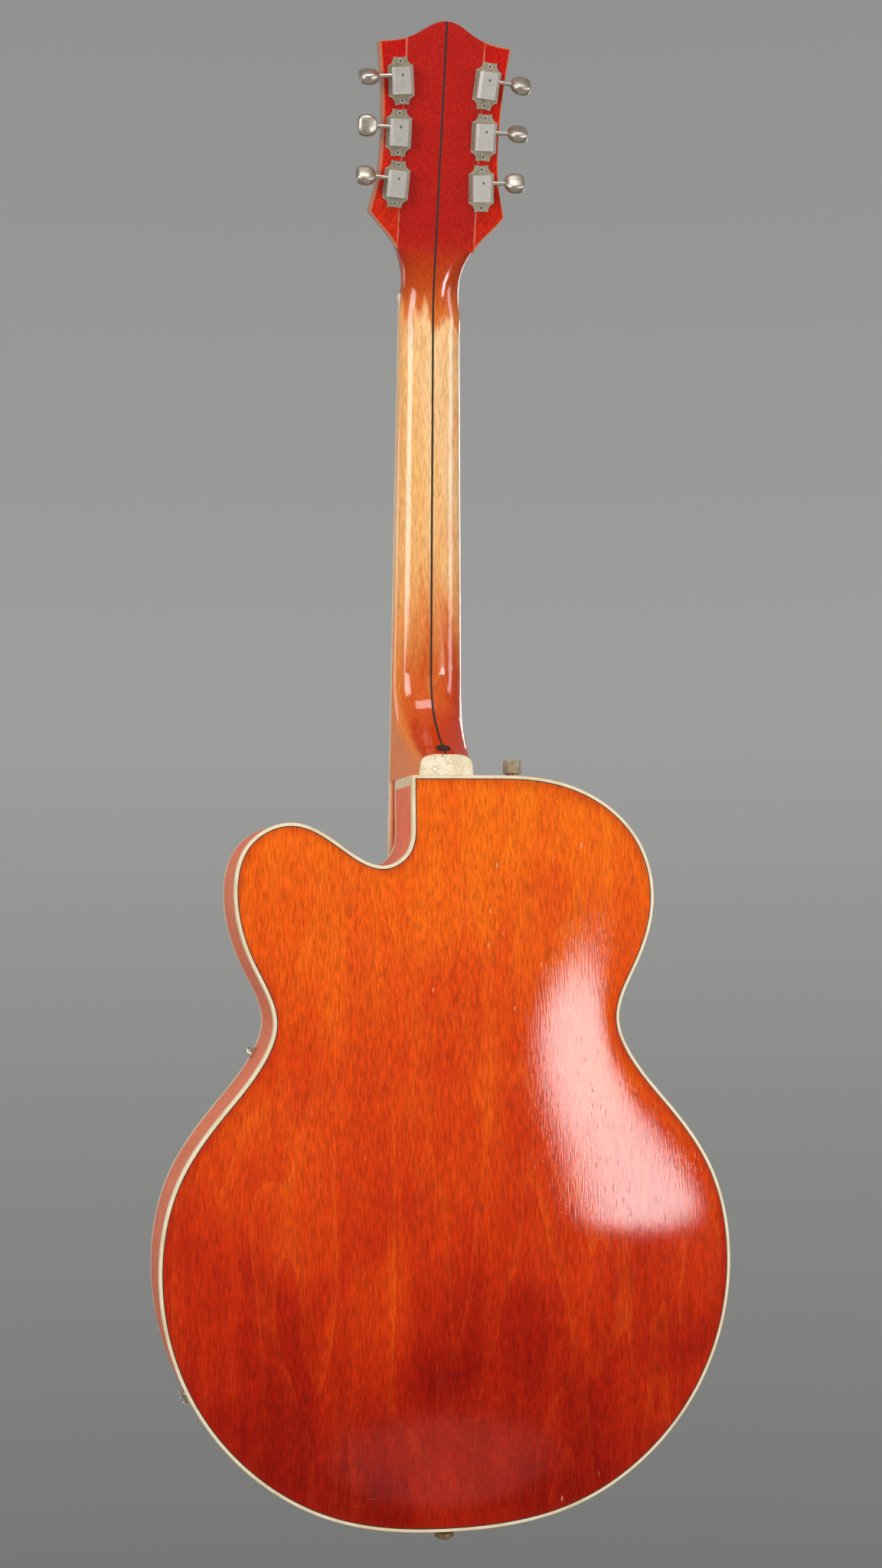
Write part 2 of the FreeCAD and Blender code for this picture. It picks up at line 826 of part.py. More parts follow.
def build_neck():
    """The laminated neck, its headstock, heel, fingerboard and what they carry."""
    nodes = {}
    reach = 2 * body_length
    back_plane = half_depth - heel_cap_thickness
    behind_joint = box(V(-reach, -reach, -reach), V(reach, reach, body_length))
    behind_cap = box(V(-reach, back_plane, 0), V(reach, reach, body_length + heel_length))
    heel, shaft = [moved(piece, NECK) for piece in neck_blank()]
    head = moved(head_prism(veneer_thickness, head_thickness), HEAD)
    above_root = moved(box(V(-reach, -reach, root_length()), V(reach, reach, reach)), HEAD)
    core = head.common(above_root).common(half_space(-wing_joint, wing_joint))
    wings = head.common(above_root)
    veneer = moved(head_prism(0, veneer_thickness), HEAD)

    cap = heel.cut(behind_joint).common(box(V(-reach, back_plane, 0), V(reach, half_depth, reach)))
    wood = heel.cut(behind_joint).cut(behind_cap).fuse([shaft, head_root(), core, neck_tongue()])
    wood = wood.fuse(tenon()).removeSplitter()
    plug = heel_plug(heel)
    wood = wood.cut([veneer, plug] + headstock_drilling())
    edge = stripe_width / 2
    far = head_half_width + joint_width
    nodes["neck_bass_half"] = wood.common(half_space(-far, -edge))
    nodes["neck_treble_half"] = wood.common(half_space(edge, far))
    nodes["neck_centre_strip"] = wood.common(half_space(-edge, edge))
    wing_pair = [wings.common(half_space(wing_joint, far)), wings.common(half_space(-far, -wing_joint))]
    nodes["headstock_wings"] = group([wing.cut(headstock_drilling()) for wing in wing_pair])
    nodes["headstock_veneer"] = veneer.cut(headstock_drilling())
    nodes["heel_cap"] = cap
    nodes["heel_plug"] = plug.common(heel)

    rod_end = head_start + truss_reach
    bar = rod(truss_radius, V(0, truss_depth, truss_end), V(0, truss_depth, rod_end))
    nodes["truss_rod"] = moved(bar, NECK)
    half, tip = cover_plate_width / 2, cover_plate_tip / 2
    plate = polygon([V(-half, 0, cover_plate_tip), V(half, 0, cover_plate_tip),
                     V(tip, 0, cover_plate_length), V(-tip, 0, cover_plate_length)])
    nodes["truss_rod_cover"] = moved(plate.extrude(V(0, -cover_plate_thickness, 0)), HEAD)
    nodes.update(build_fingerboard())
    return nodes


def heel_plug(heel):
    """The dark wooden plug over the heel's bolt, as a solid that reaches out of the heel."""
    ellipse = loop([V(plug_width / 2 * math.cos(turn), 0, plug_length / 2 * math.sin(turn))
                    for turn in (2 * math.pi * k / section_points for k in range(section_points))])
    face = Part.Face(ellipse)
    height = body_length + plug_height
    line = Part.makeLine(V(0, -half_depth, height), V(0, heel_depth, height))
    surface = max(vertex.Y for vertex in heel.common(line).Vertexes)
    face.translate(V(0, surface - plug_depth, height))
    return face.extrude(V(0, plug_depth + overrun, 0))


def board_plan(inset, end_low, end_high, front, back):
    """The tapered plan of the fingerboard between two places along the neck."""
    low, high = neck_half_width(end_low) - inset, neck_half_width(end_high) - inset
    face = polygon([V(-low, front, end_low), V(low, front, end_low),
                    V(high, front, end_high), V(-high, front, end_high)])
    return face.extrude(V(0, back - front, 0))


def board_crown(rise):
    """The round surface of the fingerboard, raised by a height, as a long solid cylinder."""
    y = board_radius - board_thickness
    return rod(board_radius + rise, V(0, y, -scale_length), V(0, y, scale_length))


def crown_drop(x, rise):
    """How far the round surface falls away at a distance from the centre line."""
    radius = board_radius + rise
    return radius - math.sqrt(radius ** 2 - x ** 2)


def fret_place(number):
    """A fret's place along the neck."""
    return nut_place - scale_length * (1 - 2 ** (-number / 12))


def build_fingerboard():
    """The fingerboard with its edge strips, frets, dots and nut."""
    front = -2 * board_thickness
    blank = board_plan(0, board_end, nut_place, front, 0).common(board_crown(0))
    inner = board_plan(board_binding_width, board_end - overrun, nut_place + overrun, front, 0)
    board = blank.common(inner)
    dots = []
    for number in marker_frets:
        middle = (fret_place(number) + fret_place(number - 1)) / 2
        dot = rod(marker_radius, V(0, front, middle), V(0, marker_depth - board_thickness, middle))
        dots.append(dot.common(board_crown(0)))
    frets = []
    for number in range(1, fret_count + 1):
        low, high = fret_place(number) - fret_width / 2, fret_place(number) + fret_width / 2
        frets.append(board_plan(0, low, high, front, 0).common(board_crown(fret_height)).cut(board_crown(0)))
    nut = board_plan(0, nut_place, head_start, front, 0).common(board_crown(nut_rise))
    slots = []
    for number in range(string_count):
        point = string_nut_point(number)
        room = string_size(number) + string_gap
        slots.append(box(V(point.x - room - slot_play, front, nut_place - overrun),
                         V(point.x + room + slot_play, point.y + room, head_start + overrun)))
    pieces = {
        "fingerboard": board.cut(group(dots)),
        "fingerboard_binding": group(blank.cut(inner).Solids),
        "fret_markers": group(dots),
        "frets": group(frets),
        "nut": nut.cut(slots),
    }
    return {name: moved(shape, NECK) for name, shape in pieces.items()}


# Strings

def string_size(number):
    """The radius of a string, counted from the bass side."""
    return string_radius * string_radius_shares[number]


def string_nut_point(number):
    """Where a string's centre crosses the nut, in the neck's frame."""
    x = (number - (string_count - 1) / 2) * nut_string_spacing
    height = board_thickness + string_over_nut - crown_drop(x, string_over_nut)
    return V(x, -height, head_start + string_gap)


def string_bridge_point(number):
    """Where a string's centre crosses the bridge, in the neck's frame."""
    x = (number - (string_count - 1) / 2) * bridge_string_spacing
    rise = string_over_nut + string_over_board_end * scale_length / (nut_place - board_end)
    rise = string_over_nut + (rise - string_over_nut) / 2
    return V(x, -board_thickness - rise + crown_drop(x, rise), bridge_place)


def string_tail_point(number):
    """Where a string leaves the tailpiece."""
    x = (number - (string_count - 1) / 2) * bridge_string_spacing
    return V(x, tail_bar_y() + tail_bar_thickness / 2, tail_bar_height)


def string_post_line(number):
    """A string's last run, in the neck's frame: the nut, the post's side and the wrap's centre."""
    side, place = tuner_placement(number)
    to_neck = NECK.inverse()
    to_head = HEAD.inverse()
    post = to_head.multVec(place.multVec(V(0, 0, gear_center)))
    wrap = post_waist_radius + string_gap + string_size(number)
    height = -post_collar - post_waist_height / 2 - flange_thickness
    start = to_head.multVec(NECK.multVec(string_nut_point(number)))
    run = math.hypot(post.x - start.x, post.z - start.z)
    turn = math.atan2(post.x - start.x, post.z - start.z) - side * math.asin(wrap / run)
    length = math.sqrt(run ** 2 - wrap ** 2)
    touch = V(start.x + length * math.sin(turn), height, start.z + length * math.cos(turn))
    centre = V(post.x, height, post.z)
    return [to_neck.multVec(HEAD.multVec(point)) for point in (start, touch, centre)]


def build_strings():
    """Six strings from the tailpiece over the bridge and the nut to the posts."""
    strings = []
    for number in range(string_count):
        size = string_size(number)
        start, touch, centre = [NECK.multVec(point) for point in string_post_line(number)]
        bridge = NECK.multVec(string_bridge_point(number))
        tail = string_tail_point(number)
        down = (tail - bridge).normalize()
        ball = tail + down * (tail_bar_width / 2 + ball_radius)
        normal = HEAD.Rotation.multVec(V(0, 1, 0))
        ring = post_waist_radius + string_gap + size
        wrap = Part.makeTorus(ring, size, centre + normal * (size / 2), normal)
        runs = [rod(size, ball, bridge), rod(size, bridge, start), rod(size, start, touch)]
        bends = [Part.makeSphere(size, point) for point in (bridge, start)]
        strings.append(fused(runs + bends + [wrap, Part.makeSphere(ball_radius, ball)]))
    return {"strings": group(strings)}


# Tuners

def screw_places():
    """The two screws of a tuner's plate, along its middle."""
    return [side * (plate_length / 2 - screw_inset) for side in (1, -1)]


def tuner_plate():
    """A plate with scalloped ends, in the tuner's own frame."""
    wide, tall = plate_width / 2, plate_length / 2
    shoulder, tab = shoulder_share * tall, tab_share * wide
    edges = []
    for turn in (1, -1):
        corner, inner = V(turn * wide, 0, turn * shoulder), V(turn * tab, 0, turn * tall)
        far_corner, far_inner = V(-turn * wide, 0, turn * shoulder), V(-turn * tab, 0, turn * tall)
        dip = V(turn * scallop_share * wide, 0, turn * (shoulder + (tall - shoulder) / 3))
        far_dip = V(-dip.x, 0, dip.z)
        edges += [Part.Arc(corner, dip, inner).toShape(),
                  Part.Arc(inner, V(0, 0, turn * (tall - tab_dip)), far_inner).toShape(),
                  Part.Arc(far_inner, far_dip, far_corner).toShape(),
                  Part.makeLine(far_corner, V(-turn * wide, 0, -turn * shoulder))]
    plate = Part.Face(Part.Wire(edges)).extrude(V(0, plate_gauge, 0))
    holes = [rod(post_radius + running_gap, V(0, -overrun, gear_center), V(0, overrun, gear_center))]
    holes += [rod(screw_shank_radius, V(0, -overrun, z), V(0, overrun, z)) for z in screw_places()]
    return plate.cut(holes)


def cover_block(inset):
    """A tuner cover's bevelled block, drawn a distance inside its faces."""
    wide, tall = cover_width / 2 - inset, cover_length / 2 - inset
    high = cover_height - inset
    low = plate_gauge
    face = polygon([
        V(-wide, low, -tall), V(wide, low, -tall), V(wide, high - cover_bevel, -tall),
        V(wide - cover_bevel, high, -tall), V(cover_bevel - wide, high, -tall),
        V(-wide, high - cover_bevel, -tall)])
    return face.extrude(V(0, 0, 2 * tall))


def tuner_cover(side):
    """A hollow stamped cover with its oil hole and the hole for the button's shaft."""
    oil = rod(oil_hole_radius, V(0, worm_height, worm_offset), V(0, cover_height + overrun, worm_offset))
    opening = rod(shaft_radius + running_gap, V(0, worm_height, worm_offset),
                  V(side * cover_width, worm_height, worm_offset))
    return cover_block(0).cut([cover_block(cover_gauge), oil, opening])


def tuner_button(side, turn):
    """A button with its shaft and worm, turned about the shaft."""
    def at(x, y=0, z=0):
        return V(side * x, worm_height + y, worm_offset + z)

    lean = max(worm_height + worm_radius - cover_height + cover_gauge + cover_bevel, 0)
    room = cover_width / 2 - cover_gauge - lean - 2 * running_gap
    reach = cover_width / 2 + shaft_reach - button_length / 2
    pieces = [rod(shaft_radius, at(-room), at(reach))]
    pitch = 2 * room / (2 * worm_turns + 1)
    for k in range(worm_turns + 1):
        start = -room + 2 * k * pitch
        pieces.append(rod(worm_radius, at(start), at(start + pitch)))
    pieces.append(rod(worm_radius - worm_groove, at(-room), at(room)))
    rings = []
    for along, swell in button_section_shares:
        points = []
        for k in range(button_points):
            angle = 2 * math.pi * k / button_points
            y = swell * button_thickness / 2 * squared(math.cos(angle), button_squareness)
            z = swell * button_width / 2 * squared(math.sin(angle), button_squareness)
            points.append(at(reach + along * button_length - shaft_radius, y, z))
        rings.append(loop(points))
    head = Part.makeLoft(rings, True, False)
    head.rotate(at(0), V(1, 0, 0), turn)
    return fused(pieces + [head])


def string_post():
    """A string post with its toothed wheel, in the tuner's own frame."""
    front = -head_thickness
    middle = V(0, worm_height - gear_thickness / 2, gear_center)
    rim = []
    for k in range(2 * gear_teeth):
        radius = gear_radius if k % 2 else gear_radius - gear_tooth
        angle = math.pi * k / gear_teeth
        rim.append(middle + V(radius * math.cos(angle), 0, radius * math.sin(angle)))
    wheel = polygon(rim).extrude(V(0, gear_thickness, 0))

    def at(y):
        return V(0, y, gear_center)

    waist_low = front - flange_thickness - post_collar
    waist_high = waist_low - post_waist_height
    post = [rod(post_radius, at(worm_height), at(waist_low)),
            rod(post_waist_radius, at(waist_low), at(waist_high)),
            rod(post_radius, at(waist_high), at(waist_high - post_tip))]
    eye_y = waist_high - post_tip / 2
    eye = rod(string_radius, V(-2 * post_radius, eye_y, gear_center), V(2 * post_radius, eye_y, gear_center))
    return fused([wheel] + post).cut(eye)


def tuner_bushing():
    """The sleeve that guides a post at the front of the headstock."""
    def at(y):
        return V(0, y - head_thickness, gear_center)

    sleeve = fused([rod(bushing_radius, at(0), at(bushing_depth)),
                    rod(flange_radius, at(-flange_thickness), at(0))])
    return sleeve.cut(rod(post_radius + running_gap, at(-overrun), at(bushing_depth + overrun)))


def tuner_screw(z):
    """A small round-headed wood screw through a tuner's plate."""
    head = rod(screw_head_radius, V(0, plate_gauge, z), V(0, plate_gauge + screw_head_height, z))
    shank = rod(screw_shank_radius, V(0, -screw_length, z), V(0, plate_gauge + screw_head_height, z))
    return fused([head, shank])


def build_tuners():
    """Six tuning machines."""
    plates, covers, screws, bushings = [], [], [], []
    nodes = {}
    for number in range(string_count):
        side, place = tuner_placement(number)
        plates.append(moved(tuner_plate(), place))
        covers.append(moved(tuner_cover(side), place))
        screws += [moved(tuner_screw(z), place) for z in screw_places()]
        bushings.append(moved(tuner_bushing(), place))
        button = tuner_button(side, button_turn_degrees[number])
        nodes["tuner_button_%d" % (number + 1)] = moved(button, place)
        nodes["string_post_%d" % (number + 1)] = moved(string_post(), place)
    nodes["tuner_plates"] = group(plates)
    nodes["tuner_covers"] = group(covers)
    nodes["tuner_screws"] = group(screws)
    nodes["tuner_bushings"] = group(bushings)
    return nodes


# Bridge

def bridge_middle():
    """The place on the centre line where the strings cross the bridge."""
    low = NECK.multVec(string_bridge_point(string_count // 2))
    return V(0, low.y, low.z)


def build_bridge():
    """A two-piece bridge: a base fitted to the arching, and a saddle that two wheels raise."""
    crest = bridge_middle()
    z = crest.z
    low, high = z - bridge_base_width / 2, z + bridge_base_width / 2
    base_front = top_y(0, z) - bridge_base_height
    reach = bridge_base_length / 2
    base = box(V(-reach, base_front, low), V(reach, 0, high))
    base = base.cut(arch_solid(-1, half_depth, top_arch, -body_depth))
    foot = reach * bridge_foot_share
    arch_front = base_front + bridge_base_height - bridge_arch_rise
    arch = box(V(-foot, arch_front, low - overrun), V(foot, 0, high + overrun))
    base = base.cut(arch)
    string_front = crest.y + string_radius
    saddle_back = string_front + saddle_height
    wheel_back = base_front - wheel_drop - wheel_play
    wheel_front = wheel_back - wheel_thickness
    half = saddle_length / 2
    behind = wheel_front - wheel_play / 2
    shoulder_y = string_front + crown_drop(half, string_over_nut)
    ends = [V(-half, shoulder_y, low), V(-half, behind, low), V(half, behind, low), V(half, shoulder_y, low)]
    sides = [Part.makeLine(a, b) for a, b in zip(ends, ends[1:])]
    crown = Part.Arc(ends[3], V(0, string_front, low), ends[0]).toShape()
    saddle = Part.Face(Part.Wire(sides + [crown])).extrude(V(0, 0, saddle_width))
    saddle.translate(V(0, 0, (bridge_base_width - saddle_width) / 2))
    nodes = {}
    stud_front = saddle_back - saddle_height / 3
    studs, slots = [], []
    for side, name in ((-1, "bass"), (1, "treble")):
        x = side * stud_spacing / 2
        foot = V(x, base_front + stud_sink, z)
        tip = V(x, stud_front, z)
        studs.append(rod(stud_radius, foot, tip))
        slots.append(rod(stud_radius + running_gap, foot, V(x, stud_front - wheel_drop - 2 * wheel_play, z)))
        nodes["bridge_thumbwheel_" + name] = tube(
            wheel_radius, stud_radius + running_gap, V(x, wheel_front, z), V(x, wheel_back, z))
    saddle = saddle.cut(slots)
    for number in range(string_count):
        point = NECK.multVec(string_bridge_point(number))
        start = NECK.multVec(string_nut_point(number))
        tail = string_tail_point(number)
        grown = string_size(number) + string_gap
        for notch in (rod(grown, point, start), rod(grown, point, tail), Part.makeSphere(grown, point)):
            saddle = saddle.cut(notch)
    nodes["bridge_saddle"] = saddle
    nodes["bridge_studs"] = group(studs)
    nodes["bridge_base"] = base.cut(group(studs))
    return nodes


# Tailpiece, strap pins

def tail_bar_y():
    """The front face of the tailpiece's bar."""
    return top_y(0, tail_bar_height) - tail_lift - tail_bar_thickness


def hinge_line():
    """The middle of the tailpiece's hinge at the edge of the top."""
    return V(0, -half_depth - barrel_radius, hanger_fold - barrel_radius)


def build_tailpiece():
    """A trapeze tailpiece on a hanger that the end pin holds to the tail."""
    pin_hole = rod(pin_shank_radius, V(0, 0, -hanger_reach), V(0, 0, hanger_reach))
    wide = hanger_width / 2
    joint = hinge_line()
    plate = box(V(-wide, -half_depth - hanger_gauge, -hanger_gauge), V(wide, hanger_reach - half_depth, 0))
    fold = box(V(-wide, -half_depth - hanger_gauge, -hanger_gauge), V(wide, -half_depth, hanger_fold))
    barrel = rod(barrel_radius, V(-wide, joint.y, joint.z), V(wide, joint.y, joint.z))
    aside = V(2 * wide, 0, 0)
    hinge_hole = rod(hinge_radius + hinge_clearance, joint - aside, joint + aside)
    hanger = fused([plate, fold, barrel]).cut([pin_hole, hinge_hole])

    front = tail_bar_y()
    bar = box(V(-tail_bar_length / 2, front, tail_bar_height - tail_bar_width / 2),
              V(tail_bar_length / 2, front + tail_bar_thickness, tail_bar_height + tail_bar_width / 2))
    foot = wide + tail_rod_foot / 2
    hinge = rod(hinge_radius, V(-foot, joint.y, joint.z), V(foot, joint.y, joint.z))
    frame = [bar, hinge]
    for side in (1, -1):
        low = V(side * foot, joint.y, joint.z)
        aside = side * (tail_bar_length / 2 - tail_rod_radius)
        high = V(aside, front + tail_bar_thickness / 2, tail_bar_height)
        frame += [rod(tail_rod_radius, low, high), Part.makeSphere(tail_rod_radius, low)]
    holes = []
    for number in range(string_count):
        tail = string_tail_point(number)
        bridge = NECK.multVec(string_bridge_point(number))
        run = (tail - bridge).normalize() * tail_bar_width
        holes.append(rod(string_size(number) + string_gap, tail - run, tail + run))
        seat = tail + run * ((tail_bar_width / 2 + ball_radius) / tail_bar_width)
        holes.append(Part.makeSphere(ball_radius + string_gap, seat))

    def at(z):
        return V(0, 0, -hanger_gauge - z)

    pin = fused([
        rod(pin_shank_radius, at(0), V(0, 0, pin_shank_length)),
        rod(pin_neck_radius, at(0), at(pin_neck_length)),
        rod(pin_head_radius, at(pin_neck_length), at(pin_neck_length + pin_head_height / 2)),
        dome(pin_head_radius, pin_head_height / 2, at(pin_neck_length + pin_head_height / 2), V(0, 0, -1))])
    return {"tailpiece_hanger": hanger, "tailpiece_trapeze": fused(frame).cut(holes), "end_pin": pin}


def dome(radius, height, centre, direction):
    """A shallow cap of a sphere on a round base."""
    ball_size = (radius ** 2 + height ** 2) / (2 * height)
    ball = Part.makeSphere(ball_size, centre - direction * (ball_size - height))
    return ball.common(rod(radius, centre, centre + direction * height))


def strap_point():
    """Where the upper strap stud stands on the bass shoulder."""
    point, _ = outline_at(lambda p: p.x + strap_offset if p.z > body_length / 2 and p.x < 0 else -1)
    return point


def strap_axis_rod(radius, sink):
    """A round bar down into the bass shoulder, where the strap stud goes."""
    point = strap_point()
    return rod(radius, point - V(0, 0, sink), point + V(0, 0, overrun))


def build_strap_knob():
    """The strap stud and the knurled knob that screws on to it."""
    point = strap_point()
    seat = point + V(0, 0, strap_collar_height)
    inside = body_prism(0, -half_depth, half_depth)
    tip = seat + V(0, 0, strap_knob_height - strap_knob_roof)
    collar = rod(strap_collar_radius, point - V(0, 0, overrun / 2), seat).cut(inside)
    stud = fused([collar, rod(strap_stud_radius, point - V(0, 0, strap_stud_sink), tip)])
    low = seat + V(0, 0, strap_knob_play)
    high = low + V(0, 0, strap_knob_height)
    knob = rod(strap_knob_radius, low, high)
    bore_low, bore_high = low - V(0, 0, overrun), tip + V(0, 0, strap_knob_play)
    knob = knob.cut(rod(strap_stud_radius + running_gap, bore_low, bore_high))
    grooves = []
    for k in range(knurl_count):
        angle = 2 * math.pi * k / knurl_count
        step = V(math.cos(angle), math.sin(angle), 0) * strap_knob_radius
        grooves.append(rod(knurl_radius, low + step - V(0, 0, overrun), high + step + V(0, 0, overrun)))
    return {"strap_stud": stud, "strap_knob": knob.cut(grooves)}


# Pickup, controls and jack

def string_plane_y(z):
    """The strings' depth over a height on the body, at the middle."""
    nut = NECK.multVec(string_nut_point(string_count // 2))
    bridge = NECK.multVec(string_bridge_point(string_count // 2))
    return bridge.y + (nut.y - bridge.y) * (z - bridge.z) / (nut.z - bridge.z)


def build_pickup():
    """A pickup in a ring that is fitted to the arching, with its screws."""
    middle = pickup_height()
    front = string_plane_y(middle + pickup_width / 2) + pickup_height_gap
    body = pickup_plan(0, front, front + pickup_body_depth)
    ring_front = front + pole_rise
    ring = pickup_plan(pickup_ring_border, ring_front, 0)
    ring = ring.cut(pickup_plan(pickup_play, front - overrun, overrun))
    ring = ring.cut(arch_solid(-1, half_depth, top_arch, -body_depth))
    poles = []
    for number in range(string_count):
        share = (string_bridge_point(number).x + string_nut_point(number).x) / 2
        pole = rod(pole_radius, V(share, front - pole_rise, middle), V(share, front + pole_depth, middle))
        poles.append(pole)
    body = body.cut(poles)
    return {"pickup_ring": ring, "pickup_coil": group([body] + poles)}


def top_depths(x, z, radius):
    """The depths of the top's outer face at a point and around it."""
    steps = (-radius, 0, radius)
    return [top_y(x + dx, z + dz) for dx in steps for dz in steps]


def control_knob(x, z):
    """A fluted knob on its shaft, standing out of the top."""
    seat = min(top_depths(x, z, knob_radius))
    low, high = seat - knob_lift, seat - knob_lift - knob_height
    knob = rod(knob_radius, V(x, low, z), V(x, high, z))
    flutes = []
    for k in range(knob_flutes):
        angle = 2 * math.pi * k / knob_flutes
        foot = V(x + knob_radius * math.cos(angle), low + overrun, z + knob_radius * math.sin(angle))
        flutes.append(rod(knob_flute_radius, foot, V(foot.x, high - overrun, foot.z)))
    shaft = rod(pot_shaft_radius, V(x, pot_front(x, z) + pot_height / 2, z), V(x, high + knob_height / 2, z))
    knob = knob.cut(flutes).cut(shaft)
    return group([knob, shaft])


def pot_front(x, z):
    """The front face of a potentiometer's can, under the top."""
    return max(top_depths(x, z, pot_radius)) + plate_thickness + 2 * plate_relief


def build_controls():
    """Two controls with their wiring, and the jack in the rim."""
    nodes = {}
    harness = []
    cans = []
    for name, (x, z) in zip(("volume_knob", "tone_knob"), control_places()):
        front = pot_front(x, z)
        bore_back = front + pot_height / 2 + running_gap
        bore = rod(pot_shaft_radius + running_gap, V(x, front - body_depth, z), V(x, bore_back, z))
        can = fused([rod(pot_radius, V(x, front, z), V(x, front + pot_height, z)),
                     rod(pot_bushing_radius, V(x, top_y(x, z) - pot_bushing_rise, z), V(x, front, z))])
        harness.append(can.cut(bore))
        cans.append(V(x, front + pot_height, z))
        nodes[name] = control_knob(x, z)
    inner = jack_point(-jack_body_length - lead_radius - lead_gap)
    depth = lead_depth_share * half_depth
    place = pickup_height()
    pickup_foot = V(0, string_plane_y(place) + pickup_height_gap + pickup_body_depth, place)
    clear = V(0, lead_radius + lead_gap, 0)
    aside = V(0, 0, pot_radius / 2)
    harness.append(lead(pickup_foot + clear, cans[0] + aside + clear, depth))
    harness.append(lead(cans[0], cans[1] + clear, depth))
    harness.append(lead(cans[0] - aside, inner, depth))
    nodes["wiring_harness"] = group(harness)
    nodes.update(build_jack())
    return nodes


def lead(start, end, depth):
    """A wire inside the body: back from its start, across, and forward to its end."""
    points = [start, V(start.x, depth, start.z), V(end.x, depth, end.z), end]
    if abs(end.y - depth) < 2 * lead_radius:
        points = [start, V(start.x, depth, start.z), end]
    runs = [rod(lead_radius, a, b) for a, b in zip(points, points[1:])]
    return fused(runs + [Part.makeSphere(lead_radius, point) for point in points[1:]])


def jack_frame():
    """The jack's place on the lower treble rim and the direction out of the body."""
    point, inward = outline_at(
        lambda p: jack_height - p.z if p.x > half_width / 2 and p.z < body_length / 2 else -1)
    return point + V(0, jack_place, 0), inward * -1


def jack_point(out):
    """A point on the jack's axis, a distance out of the rim."""
    point, outward = jack_frame()
    return point + outward * out


def jack_rod(radius, low, high):
    """A round bar on the jack's axis."""
    return rod(radius, jack_point(low), jack_point(high))


def build_jack():
    """The jack's barrel and body, with its washer and nut outside the rim."""
    stand = jack_stand_out + jack_washer_thickness
    socket = jack_rod(jack_barrel_radius, -jack_body_length, stand)
    shell = jack_rod(jack_body_radius, -jack_body_length, -rim_thickness - jack_washer_thickness)
    bore = jack_rod(jack_bore_radius, -jack_body_length + jack_washer_thickness, stand + overrun)
    barrel = fused([socket, shell]).cut(bore)
    washer = jack_rod(jack_washer_radius, jack_stand_off, jack_washer_thickness)
    washer = washer.cut(jack_rod(jack_barrel_radius, -overrun, stand))
    _, outward = jack_frame()
    across = outward.cross(V(0, 1, 0))
    start = jack_point(jack_washer_thickness)
    corner = jack_nut_width / math.sqrt(3)
    rim = []
    for k in range(6):
        angle = math.pi * k / 3
        rim.append(start + across * (corner * math.cos(angle)) + V(0, corner * math.sin(angle), 0))
    nut = polygon(rim).extrude(outward * jack_nut_thickness).cut(socket)
    return {"output_jack": barrel, "jack_nut": group([washer, nut])}


# Pickguard

def bracket_frame():
    """The pickguard bracket's place beside the treble rim at the waist and the direction into the body."""
    height = bracket_height_share * body_length
    point, inward = outline_at(lambda p: height - p.z if p.x > half_width / 3 else -1)
    return point - inward * bracket_stand_off, inward


def bracket_point(out, y):
    """A point beside the rim at the bracket, a distance out of it."""
    point, inward = bracket_frame()
    return point - inward * out + V(0, y, 0)


def bracket_rod(radius, sink):
    """A round bar on the bracket screw's axis."""
    y = -half_depth + bracket_foot_length / 2
    return rod(radius, bracket_point(-sink, y), bracket_point(0, y))


def guard_y():
    """The back face of the pickguard, clear of the arching."""
    return top_y(0, bridge_middle().z) - guard_clearance


def build_pickguard():
    """A raised pickguard beside the strings and the bracket that holds it to the rim."""
    back = guard_y()
    inner = (string_count - 1) / 2 * bridge_string_spacing + guard_gap
    outer = inner + guard_width
    low, high = guard_bottom_share * body_length, guard_top_share * body_length
    face = polygon([
        V(inner, back, low), V(outer - guard_corner, back, low), V(outer, back, low + 2 * guard_corner),
        V(outer, back, high - 3 * guard_corner), V(outer - guard_corner, back, high - guard_corner),
        V(inner, back, high)])
    guard = face.extrude(V(0, -guard_thickness, 0))
    guard = guard.cut(pickup_plan(pickup_ring_border + pickup_play, -body_depth - half_depth, 0))

    _, inward = bracket_frame()
    foot_y = -half_depth + bracket_foot_length / 2
    corner = bracket_point(0, -half_depth)
    side = inward.cross(V(0, 1, 0)) * (bracket_foot_width / 2)
    foot_face = polygon([corner - side, corner + side, corner + side + V(0, bracket_foot_length, 0),
                         corner - side + V(0, bracket_foot_length, 0)])
    foot = foot_face.extrude(inward * -bracket_foot_gauge)
    arm_y = back + bracket_radius
    elbow = bracket_point(bracket_radius, arm_y)
    tip = V(outer - guard_corner, arm_y, elbow.z)
    screw_base = bracket_point(0, foot_y)
    foot = foot.cut(bracket_rod(bracket_radius, -2 * bracket_foot_gauge))
    arm = [foot, rod(bracket_radius, elbow, tip), Part.makeSphere(bracket_radius, elbow),
           rod(bracket_radius, elbow, bracket_point(bracket_radius, -half_depth + bracket_radius))]
    outward = inward * -1
    screw_seat = screw_base + outward * bracket_foot_gauge
    screw = fused([rod(bracket_radius, screw_base + inward * bracket_screw_length, screw_seat),
                   dome(bracket_screw_radius, bracket_screw_head, screw_seat, outward)])
    arm = fused(arm).cut(screw)
    return {"pickguard": guard, "pickguard_bracket": group(arm.Solids + [screw])}


def hanger_point():
    """Where a wall hanger holds the headstock, which is the origin of the finished part."""
    return HEAD.multVec(V(0, head_thickness / 2, hanger_place))


def build():
    """Every piece of the guitar by its node's name, measured from the hanging place."""
    nodes = {}
    to_hanger = FreeCAD.Placement(hanger_point() * -1, FreeCAD.Rotation())
    for make in (build_body, build_neck, build_strings, build_tuners, build_bridge, build_tailpiece,
                 build_strap_knob, build_pickup, build_controls, build_pickguard):
        nodes.update(make())
    return {name: moved(shape, to_hanger) for name, shape in nodes.items()}


